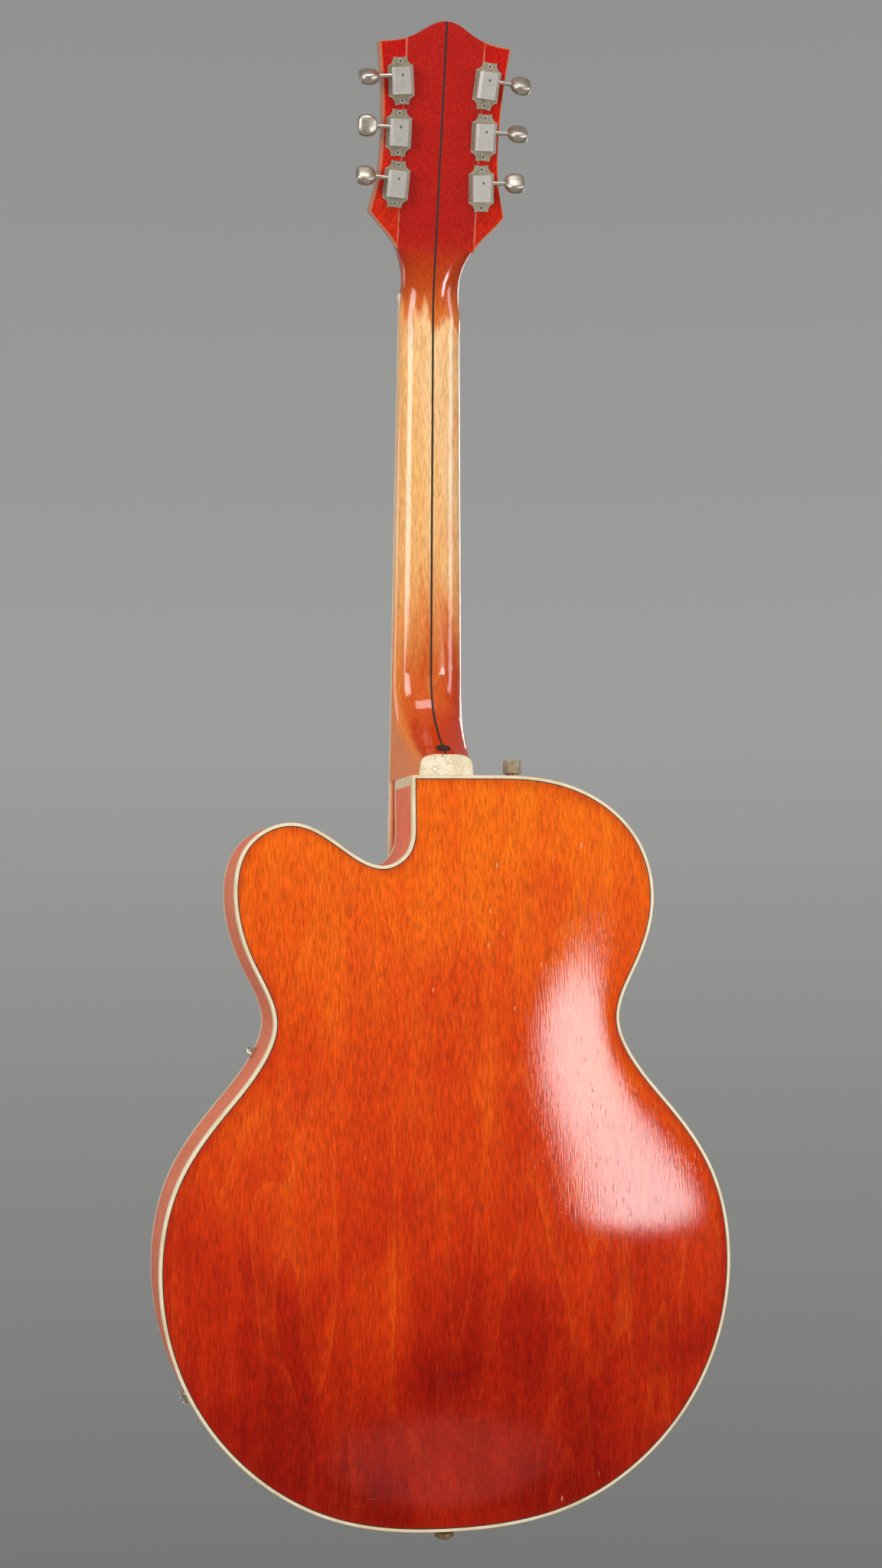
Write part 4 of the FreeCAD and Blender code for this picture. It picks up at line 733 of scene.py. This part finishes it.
@dataclass
class Arch:
    """The back's arching, in millimetres: an elastic skin blown up inside the outline.

    A power of its height makes it recurve along the edge.
    """

    outline: Outline
    border: float = 3.0
    step: float = 3.0
    spread: float = 75.0
    power: float = 2.1
    blur: float = 4.0
    blur_steps: int = 4
    sweeps: int = 500
    relaxation: float = 1.94
    margin_steps: int = 6

    def __post_init__(self) -> None:
        """Relaxes the skin on a grid."""
        margin = self.margin_steps * self.step
        self.x_low = -self.outline.half_width - margin
        self.z_low = -margin
        xs = np.arange(self.x_low, self.outline.half_width + margin, self.step)
        zs = np.arange(self.z_low, self.outline.length + margin, self.step)
        inside = self.inside(xs, zs)
        skin = np.zeros(inside.shape)
        chequer = np.add.outer(np.arange(len(zs)), np.arange(len(xs))) % 2
        stiffness = 4 + (self.step / self.spread) ** 2
        for sweep in range(2 * self.sweeps):
            pull = np.zeros_like(skin)
            pull[1:-1, 1:-1] = skin[:-2, 1:-1] + skin[2:, 1:-1] + skin[1:-1, :-2] + skin[1:-1, 2:] + 1
            turn = inside & (chequer == sweep % 2)
            skin += np.where(turn, self.relaxation * (pull / stiffness - skin), 0)
        lift = (np.clip(skin, 0, None) / skin.max()) ** self.power
        reach = np.arange(-self.blur_steps, self.blur_steps + 1) * self.step
        kernel = np.exp(-0.5 * (reach / self.blur) ** 2)
        kernel /= kernel.sum()
        for axis in (0, 1):
            lift = np.apply_along_axis(np.convolve, axis, lift, kernel, "same")
        self.lift = lift

    def inside(self, xs: np.ndarray, zs: np.ndarray) -> np.ndarray:
        """Which grid points lie inside the arching's border.

        Args:
            xs: The grid's columns.
            zs: The grid's rows.

        Returns:
            True or false for each row and column.
        """
        start = self.outline.inset(self.border)
        end = np.roll(start, -1, axis=0)
        crosses = (start[:, 1] > zs[:, None]) != (end[:, 1] > zs[:, None])
        rise = np.where(end[:, 1] == start[:, 1], 1.0, end[:, 1] - start[:, 1])
        x_cross = start[:, 0] + (end[:, 0] - start[:, 0]) * (zs[:, None] - start[:, 1]) / rise
        beyond = crosses[:, :, None] & (x_cross[:, :, None] > xs)
        return beyond.sum(axis=1) % 2 == 1

    def at(self, points: np.ndarray) -> np.ndarray:
        """The arching's share of its full height.

        Args:
            points: Places on the body, in millimetres.

        Returns:
            A share for each place.
        """
        across = (points[..., 0] - self.x_low) / self.step
        along = (points[..., 1] - self.z_low) / self.step
        i, j = across.astype(int), along.astype(int)
        s, t = across - i, along - j
        near = self.lift[j, i] * (1 - s) + self.lift[j, i + 1] * s
        far = self.lift[j + 1, i] * (1 - s) + self.lift[j + 1, i + 1] * s
        return near * (1 - t) + far * t


@dataclass
class Place:
    """Where the body is in the row's frame, in metres."""

    tail_z: float
    middle_y: float

    def points(self, flat: np.ndarray, depth: np.ndarray | float) -> np.ndarray:
        """Carries body points to the row's frame.

        Args:
            flat: x and z, in millimetres.
            depth: Depth from the middle of the body, in millimetres.

        Returns:
            Points in metres.
        """
        y = np.broadcast_to(depth, flat.shape[:-1])
        full = np.stack([flat[..., 0], y, flat[..., 1]], axis=-1).reshape(-1, 3)
        return full * MM + [0, self.middle_y, self.tail_z]

    def spot(self, x: float, y: float, z: float) -> Vector:
        """Carries a point, in metres from the middle of the body's tail, to the row's frame."""
        return Vector((x, self.middle_y + y, self.tail_z + z))


def settle(piece: Piece, body: str, finish: Finish, *nodes: str) -> None:
    """Ties a new piece to the model.

    Args:
        piece: The piece.
        body: The body that it moves with.
        finish: Not used.
        *nodes: The nodes that it stands for.
    """
    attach(piece, body)
    if nodes:
        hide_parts(*nodes)
    LOG.info("made %s on %s", piece.name, body)


def body_of(node: str) -> str:
    """The name of the body that a node rides on."""
    return frame["nodes"][node]["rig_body"]


def welded(node: str) -> tuple[np.ndarray, np.ndarray]:
    """A node's mesh with the points that share a place made one.

    Args:
        node: The node's name.

    Returns:
        The points and the triangles.
    """
    source = frame["nodes"][node].data
    flat = np.empty(3 * len(source.vertices), np.float32)
    source.vertices.foreach_get("co", flat)
    corners = np.empty(len(source.loops), np.int32)
    source.loops.foreach_get("vertex_index", corners)
    points = flat.reshape(-1, 3).astype(float)
    cells = np.round(points * WELD_CELLS).astype(np.int64)
    _, first, joined = np.unique(cells, axis=0, return_index=True, return_inverse=True)
    faces = joined.ravel()[corners].reshape(-1, 3)
    return points[first], faces[(faces != np.roll(faces, 1, axis=1)).all(axis=1)]


@dataclass
class NodeCopy:
    """A node's own shape as a welded, smooth-shaded piece with soft edges."""

    node: str
    finish: Finish
    bevel: float = 0.0
    sharp_degrees: float = 32.0
    shift: Spot = (0.0, 0.0, 0.0)
    flat_degrees: float = 0.6
    bevel_degrees: float = 35.0

    def build(self) -> None:
        """Makes the piece in the node's place."""
        points, faces = welded(self.node)
        piece = Mesh(points + self.shift, faces).object("look_" + self.node, self.finish, self.sharp_degrees)
        if self.bevel:
            self.soften(piece)
        settle(piece, body_of(self.node), self.finish, self.node)

    def soften(self, piece: Piece) -> None:
        """Rounds the piece's sharp edges.

        Args:
            piece: The piece.
        """
        flat = math.radians(self.flat_degrees)
        reshape(piece.data, lambda work: bmesh.ops.dissolve_limit(
            work, angle_limit=flat, verts=work.verts, edges=work.edges))
        modifier = piece.modifiers.new("soft_edges", "BEVEL")
        modifier.width = self.bevel
        modifier.segments = 2
        modifier.limit_method = "ANGLE"
        modifier.angle_limit = math.radians(self.bevel_degrees)
        modifier.harden_normals = True


@dataclass
class ScrewRecessShade:
    """Painted shade for the recess in each screw's head: a thin dark disc on the head's crown."""

    node: str
    finish: Finish
    radius: float = 0.0009
    height: float = 0.00005
    sides: int = 12
    level: float = 0.00002
    crown_share: float = 0.9

    def build(self) -> None:
        """Makes one disc for each screw, all as one piece."""
        points, faces = welded(self.node)
        label, before = np.arange(len(points)), None
        while not np.array_equal(label, before):
            before = label.copy()
            np.minimum.at(label, faces.ravel(), np.repeat(before[faces].min(axis=1), 3))
        discs = [self.disc(points[label == screw], points[faces[label[faces[:, 0]] == screw]])
                 for screw in np.unique(label)]
        faces = grid_faces(4, self.sides, False)
        every = np.concatenate([faces + number * len(disc) for number, disc in enumerate(discs)])
        piece = Mesh(np.concatenate(discs), every, weld=True).object("look_screw_recess_shade", self.finish)
        settle(piece, body_of(self.node), self.finish)

    def disc(self, points: np.ndarray, triangles: np.ndarray) -> np.ndarray:
        """The points of one disc: two rings between rows of points at their centres.

        Args:
            points: The screw's points.
            triangles: The corners of the screw's triangles.

        Returns:
            The disc's points.
        """
        normals = np.cross(triangles[:, 1] - triangles[:, 0], triangles[:, 2] - triangles[:, 0])
        facing = normals[:, 1] > self.crown_share * np.linalg.norm(normals, axis=1)
        crown = normals[facing].sum(axis=0)
        axis = crown / np.linalg.norm(crown)
        heights = points @ axis
        centre = points[heights > heights.max() - self.level].mean(axis=0)
        across = np.cross(axis, (0.0, 0.0, 1.0))
        across /= np.linalg.norm(across)
        angles = np.linspace(0, 2 * np.pi, self.sides, endpoint=False)[:, None]
        ring = centre + self.radius * (np.cos(angles) * across + np.sin(angles) * np.cross(axis, across))
        rise = self.height * axis
        middle = np.broadcast_to(centre, ring.shape)
        return np.concatenate([middle - rise, ring - rise, ring + rise, middle + rise])


# The guitar


@dataclass
class Finishes:
    """Every look on the guitar."""

    place: Place

    def __post_init__(self) -> None:
        """Sets the looks up."""
        tail = self.place.tail_z
        # The back's stops darken towards the tail: partly the real stain, partly painted shade where the
        # lamps' light falls off downwards.
        self.back = StainedMaple(
            "amber_back", Slot.AMBER, tail, BODY_LENGTH,
            ((0.0, (0.27, 0.004, 0.0003)), (0.16, (0.42, 0.012, 0.0005)), (0.32, (0.56, 0.026, 0.001)),
             (0.52, (0.67, 0.046, 0.001)), (0.76, (0.80, 0.090, 0.002)), (1.0, (0.90, 0.145, 0.003))),
            edge_share=0.45, growth_share=0.6)
        self.top = StainedMaple(
            "amber_top", Slot.AMBER, tail, BODY_LENGTH,
            ((0.0, (0.44, 0.016, 0.001)), (0.5, (0.68, 0.052, 0.002)), (1.0, (0.82, 0.11, 0.004))))
        self.rim = StainedMaple(
            "rim_stain", Slot.RIM, tail, BODY_LENGTH,
            ((0.0, (0.64, 0.120, 0.050)), (0.5, (0.84, 0.200, 0.085)), (1.0, (0.86, 0.190, 0.075))),
            growth_share=0.1, streak_share=0.3, gloss=0.2, roughness=0.40)
        self.neck = WornNeck("worn_neck", Slot.NECK, tail, 0.655, 0.857, 0.06, 0.585)
        self.headstock = StainedMaple(
            "cherry_headstock", Slot.RED, tail + 0.89, 0.18,
            ((0.0, (0.62, 0.028, 0.007)), (0.45, (0.60, 0.015, 0.006)), (1.0, (0.44, 0.005, 0.006))),
            growth_share=0.1, streak_share=0.35, rubbed=(0.74, 0.20, 0.035))
        self.strip = PlainWood("dark_strip", Slot.DARK, (0.010, 0.003, 0.0015), (0.024, 0.007, 0.003), 0.6)
        self.spruce = PlainWood("bare_spruce", Slot.SPRUCE, (0.52, 0.34, 0.17), (0.70, 0.50, 0.28), 0.7)
        self.rosewood = PlainWood("rosewood", Slot.ROSEWOOD, (0.045, 0.018, 0.011), (0.12, 0.045, 0.026),
                                  0.42)
        self.veneer = AgedPlastic("black_veneer", Slot.VENEER, (0.012, 0.011, 0.011), (0.03, 0.024, 0.02),
                                  0.5, 0.16)
        self.ivory = AgedPlastic("aged_ivory", Slot.IVORY, (0.83, 0.70, 0.47), (0.62, 0.43, 0.20), 0.45, 0.34)
        self.cap = AgedPlastic("crazed_ivory", Slot.IVORY, (0.92, 0.80, 0.57), (0.60, 0.38, 0.16),
                               0.45, 0.34, 0.9)
        self.black = AgedPlastic("black_plastic", Slot.BLACK, (0.016, 0.015, 0.014), (0.05, 0.045, 0.04),
                                 0.4, 0.28)
        self.pearl = AgedPlastic("pearl", Slot.PEARL, (0.78, 0.76, 0.70), (0.55, 0.60, 0.62), 0.8, 0.2)
        self.bone = AgedPlastic("bone", Slot.BONE, (0.80, 0.71, 0.53), (0.62, 0.48, 0.28), 0.5, 0.4)
        self.wire = AgedPlastic("cloth_wire", Slot.WIRE, (0.03, 0.028, 0.026), (0.09, 0.08, 0.07), 0.6, 0.8)
        self.steel = AgedMetal("steel", Slot.STEEL, (0.60, 0.60, 0.60), (0.42, 0.40, 0.38), 0.4, 0.28)
        self.brass = AgedMetal("dark_brass", Slot.BRASS, (0.34, 0.25, 0.12), (0.13, 0.09, 0.05), 0.8, 0.38)
        nickel = Slot.NICKEL
        self.nickel = AgedMetal("aged_nickel", nickel, (0.80, 0.76, 0.69), (0.58, 0.51, 0.38), 0.5, 0.50)
        self.satin = AgedMetal("satin_nickel", nickel, (0.54, 0.51, 0.46), (0.42, 0.38, 0.32), 0.4, 0.36, 0.6)
        self.button = AgedMetal("button_nickel", nickel, (0.50, 0.45, 0.38), (0.34, 0.29, 0.22), 0.5, 0.38)
        self.plate = AgedMetal("yellowed_nickel", nickel, (0.42, 0.36, 0.27), (0.24, 0.19, 0.12),
                               0.7, 0.36, 0.8)
        self.knurled = AgedMetal("knurled_nickel", nickel, (0.38, 0.33, 0.23), (0.20, 0.17, 0.11),
                                 0.7, 0.5, 0.7)


@dataclass
class BodyLook:
    """The sound box: plates, rim, binding and purfling lines. Lengths are in millimetres."""

    place: Place
    looks: Finishes
    outline: Outline = field(default_factory=Outline)
    half_depth: float = 35.0
    plate: float = 4.0
    back_arch: float = 14.0
    rim_wall: float = 3.2
    binding_width: float = 2.2
    binding_depth: float = 6.5
    binding_round: float = 0.6
    round_points: int = 6
    purfling: float = 0.7
    strip_proud: float = 0.1
    rings: int = 84
    ring_power: float = 0.8
    centre: Point = (0.0, 250.0)

    def build(self) -> None:
        """Makes every piece of the sound box."""
        looks = self.looks
        self.back()
        deep = self.half_depth - self.binding_depth
        inner = self.half_depth - self.plate
        wall, bind = self.rim_wall, self.binding_width
        self.place_ring("rim", looks.rim, self.ring([
            (0, -deep), (0, deep), (bind, deep), (bind, inner), (wall, inner),
            (wall, -inner), (bind, -inner), (bind, -deep)]))
        for node, side in (("back_binding", 1), ("top_binding", -1)):
            self.place_ring(node, looks.ivory, self.binding(side))
        self.place_ring("purfling_lines", looks.black, self.lines())
        NodeCopy("top_plate", looks.top, sharp_degrees=50.0).build()
        proud = self.strip_proud * MM
        NodeCopy("cutaway_strip", looks.ivory, shift=(proud, 0.0, proud)).build()
        for node in ("linings", "end_blocks", "tone_bars"):
            NodeCopy(node, looks.spruce).build()

    def back(self) -> None:
        """Makes the arched back plate: rings of points out along its inside and back along its outside."""
        edge = self.outline.inset(self.binding_width + self.purfling)
        share = np.linspace(0, 1, self.rings) ** self.ring_power
        share = np.concatenate([share, share[::-1]])[:, None]
        level = np.repeat([self.half_depth - self.plate, self.half_depth], self.rings)[:, None]
        flat = self.centre + share[:, :, None] * (edge - self.centre)
        points = self.place.points(flat, level + Arch(self.outline).at(flat) * self.back_arch)
        turn = np.arange(len(edge)) / len(edge)
        uv = np.stack(np.broadcast_arrays(turn, share), axis=-1).reshape(-1, 2)
        whole = Mesh(points, grid_faces(len(share), len(edge), False), uv, weld=True)
        self.place_ring("back_plate", self.looks.back, whole, 50.0)

    @staticmethod
    def place_ring(node: str, finish: Finish, mesh: Mesh, sharp_degrees: float = 40.0) -> None:
        """Makes a piece of the body in a node's place."""
        settle(mesh.object("look_" + node, finish, sharp_degrees), ROOT_BODY, finish, node)

    def ring(self, profile: Sequence[Point]) -> Mesh:
        """Sweeps a closed profile of insets and depths round the body."""
        rows = [self.place.points(self.outline.inset(inset), depth) for inset, depth in profile]
        return Mesh(np.vstack(rows), grid_faces(len(rows), len(rows[0]), True))

    def binding(self, side: int) -> Mesh:
        """One edge's binding with a rounded corner.

        Args:
            side: 1 for the back and -1 for the top.

        Returns:
            The binding.
        """
        low, high, curve = self.half_depth - self.binding_depth, self.half_depth, self.binding_round
        turns = np.linspace(0, math.pi / 2, self.round_points)
        corner = [(curve * (1 - math.cos(t)), high - curve + curve * math.sin(t)) for t in turns]
        profile = [(0.0, low)] + corner + [(self.binding_width, high), (self.binding_width, low)]
        return self.ring([(inset, side * depth) for inset, depth in profile][::side])

    def lines(self) -> Mesh:
        """The lines inside both bindings.

        Returns:
            Both lines.
        """
        low, high = self.half_depth - self.plate, self.half_depth
        near, far = self.binding_width, self.binding_width + self.purfling
        back = self.ring([(near, low), (near, high), (far, high), (far, low)])
        top = self.ring([(near, -high), (near, -low), (far, -low), (far, -high)])
        faces = np.vstack([back.faces, top.faces + len(back.points)])
        return Mesh(np.vstack([back.points, top.points]), faces)


@dataclass
class NeckLook:
    """Neck, headstock and fingerboard."""

    looks: Finishes

    def build(self) -> None:
        """Dresses every piece of the neck."""
        looks = self.looks
        for row in (
            ("neck_bass_half", looks.neck, 0.0, 40.0), ("neck_treble_half", looks.neck, 0.0, 40.0),
            ("neck_centre_strip", looks.strip, 0.0, 40.0), ("headstock_wings", looks.headstock, 0.0006),
            ("headstock_veneer", looks.veneer, 0.0003), ("heel_cap", looks.cap, 0.0003),
            ("heel_plug", looks.strip), ("truss_rod", looks.steel), ("truss_rod_cover", looks.black, 0.0004),
            ("fingerboard", looks.rosewood), ("fingerboard_binding", looks.ivory, 0.0003),
            ("fret_markers", looks.pearl), ("frets", looks.steel, 0.0004), ("nut", looks.bone, 0.0002),
            ("strings", looks.steel, 0.0, 60.0),
        ):
            NodeCopy(*row).build()


@dataclass
class TunerLook:
    """Six tuning machines."""

    looks: Finishes
    count: int = 6

    def build(self) -> None:
        """Dresses every piece of the tuners."""
        looks = self.looks
        NodeCopy("tuner_plates", looks.plate, 0.0003).build()
        NodeCopy("tuner_covers", looks.satin, 0.0003).build()
        NodeCopy("tuner_screws", looks.satin, 0.0002).build()
        # Dark discs on the screw heads are painted shade for their recesses.
        ScrewRecessShade("tuner_screws", looks.black).build()
        NodeCopy("tuner_bushings", looks.nickel, 0.0002).build()
        for number in range(1, self.count + 1):
            NodeCopy("tuner_button_%d" % number, looks.button, 0.0, 40.0).build()
            NodeCopy("string_post_%d" % number, looks.nickel, 0.0002).build()


@dataclass
class FittingsLook:
    """Bridge, tailpiece, strap pins, pickup, controls, jack and pickguard."""

    looks: Finishes

    def build(self) -> None:
        """Dresses every fitting."""
        looks = self.looks
        wood, nickel, black, brass = looks.rosewood, looks.nickel, looks.black, looks.brass
        for row in (
            ("bridge_base", wood, 0.0006), ("bridge_saddle", wood, 0.0004), ("bridge_studs", nickel),
            ("bridge_thumbwheel_bass", nickel, 0.0003), ("bridge_thumbwheel_treble", nickel, 0.0003),
            ("tailpiece_hanger", nickel, 0.0004), ("tailpiece_trapeze", nickel, 0.0006),
            ("end_pin", brass, 0.0004), ("strap_stud", brass, 0.0003), ("strap_knob", looks.knurled),
            ("pickup_ring", black, 0.0006), ("pickup_coil", black, 0.0004),
            ("volume_knob", black, 0.0004), ("tone_knob", black, 0.0004), ("wiring_harness", looks.wire),
            ("output_jack", nickel, 0.0003), ("jack_nut", nickel, 0.0003),
            ("pickguard", black, 0.0004), ("pickguard_bracket", nickel, 0.0002),
        ):
            NodeCopy(*row).build()


# The studio


@dataclass
class Softbox:
    """A large soft lamp that faces the guitar. Sizes and places are in metres from the body's tail."""

    name: str
    spot: Spot
    aim_height: float
    width: float
    height: float
    power: float

    def build(self, place: Place) -> None:
        """Makes the lamp.

        Args:
            place: Where the body is.
        """
        light = bpy.data.lights.new(self.name, "AREA")
        light.shape = "RECTANGLE"
        light.size = self.width
        light.size_y = self.height
        light.energy = self.power
        lamp = bpy.data.objects.new(self.name, light)
        lamp.location = place.spot(*self.spot)
        facing = place.spot(0.0, 0.0, self.aim_height) - lamp.location
        lamp.rotation_euler = facing.to_track_quat("-Z", "Y").to_euler()
        bpy.context.scene.collection.objects.link(lamp)


@dataclass
class Studio:
    """The light, the backdrop and the camera of the photograph, with two weak lamps in front."""

    place: Place
    camera_spot: Spot = (0.3422, 1.6644, 0.4186)
    camera_right: Spot = (-0.97924, 0.20248, -0.00989)
    camera_up: Spot = (0.00237, 0.06025, 0.99818)
    focal_pixels: float = 3093.4
    frame_pixels: float = 2048.0
    sensor: float = 36.0
    fill_color: Color = (1.0, 0.99, 0.97)
    fill_strength: float = 0.16
    floor_radius: float = 1.0
    floor_drop: float = 0.35
    floor_sides: int = 96
    floor_color: Color = (0.62, 0.62, 0.61)
    floor_roughness: float = 0.8

    def build(self) -> None:
        """Makes the studio."""
        for lamp in (
            Softbox("right_softbox", (-1.09, 1.72, 0.275), 0.30, 0.28, 0.49, 9.3),
            Softbox("left_softbox", (1.62, 1.32, 0.95), 0.50, 0.85, 1.10, 27.0),
            Softbox("side_softbox", (-1.85, 1.15, 0.85), 0.70, 0.50, 1.05, 11.0),
            Softbox("top_softbox", (0.1, 1.10, 2.10), 0.60, 1.10, 0.60, 15.0),
            Softbox("front_left_softbox", (1.80, -1.40, 0.70), 0.45, 0.80, 0.90, 5.0),
            Softbox("front_right_softbox", (-1.50, -1.70, 1.00), 0.45, 0.80, 0.90, 9.0),
        ):
            lamp.build(self.place)
        self.world()
        self.floor()
        self.camera()
        bpy.context.scene.view_settings.view_transform = "Standard"

    def world(self) -> None:
        """Makes a plain grey backdrop that is a little darker below, and a weak fill light."""
        world = bpy.data.worlds.new("studio")
        world.use_nodes = True
        graph = Graph(world.node_tree)
        path = graph.add("LightPath").outputs
        seen = graph.math("MAXIMUM", path["Is Camera Ray"], path["Is Glossy Ray"])
        seen = graph.math("MAXIMUM", seen, path["Is Transmission Ray"])
        rise = graph.axis(graph.add("TexCoord").outputs["Generated"], "Z")
        grey = graph.ramp(graph.span(rise, -0.30, 0.40, kind="LINEAR"), (
            (0.0, (0.165, 0.165, 0.163)), (0.30, (0.25, 0.25, 0.246)),
            (0.55, (0.345, 0.345, 0.336)), (1.0, (0.28, 0.278, 0.272))))
        fill = graph.add("Background", Color=self.fill_color, Strength=self.fill_strength)
        backdrop = graph.add("Background", Color=grey, Strength=1.0)
        mixed = graph.add("MixShader", None, seen, fill.outputs[0], backdrop.outputs[0])
        graph.add("OutputWorld", Surface=mixed.outputs[0])
        bpy.context.scene.world = world

    def floor(self) -> None:
        """Makes a plain pale floor under the guitar."""
        turn = np.linspace(0, 2 * math.pi, self.floor_sides, endpoint=False)
        flat = self.floor_radius * np.stack([np.cos(turn), np.sin(turn)], axis=1)
        z = np.full(len(turn), self.place.tail_z - self.floor_drop)
        disc = bpy.data.meshes.new("floor")
        disc.from_pydata(np.column_stack([flat, z]).tolist(), [], [list(range(len(turn)))])
        material = bpy.data.materials.new("pale_floor")
        material.use_nodes = True
        shader = material.node_tree.nodes["Principled BSDF"]
        shader.inputs["Base Color"].default_value = (*self.floor_color, 1.0)
        shader.inputs["Roughness"].default_value = self.floor_roughness
        disc.materials.append(material)
        piece = bpy.data.objects.new("floor", disc)
        bpy.context.scene.collection.objects.link(piece)

    def camera(self) -> None:
        """Makes the camera at the photograph's place."""
        right, up = Vector(self.camera_right).normalized(), Vector(self.camera_up)
        back = right.cross(up).normalized()
        data = bpy.data.cameras.new("photo_camera")
        data.sensor_fit = "VERTICAL"
        data.sensor_height = self.sensor
        data.lens = self.sensor * self.focal_pixels / self.frame_pixels
        camera = bpy.data.objects.new("photo_camera", data)
        turn = Matrix((right, back.cross(right), back)).transposed().to_4x4()
        camera.matrix_world = Matrix.Translation(self.place.spot(*self.camera_spot)) @ turn
        bpy.context.scene.collection.objects.link(camera)
        bpy.context.scene.camera = camera


def corners(box: tuple[Vector, Vector]) -> list[list[float]]:
    """A box's lowest and highest corners as plain numbers."""
    return [[float(x) for x in corner] for corner in box]


def main() -> None:
    """Builds the scene."""
    logging.basicConfig(level=logging.INFO)
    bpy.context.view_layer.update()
    low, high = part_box("rim")
    place = Place(low.z, (low.y + high.y) / 2)
    looks = Finishes(place)
    for part in (BodyLook(place, looks), NeckLook(looks), TunerLook(looks), FittingsLook(looks),
                 Studio(place)):
        part.build()
        LOG.info("built %s", type(part).__name__)
    bpy.context.view_layer.update()


if __name__ == "__main__":
    main()
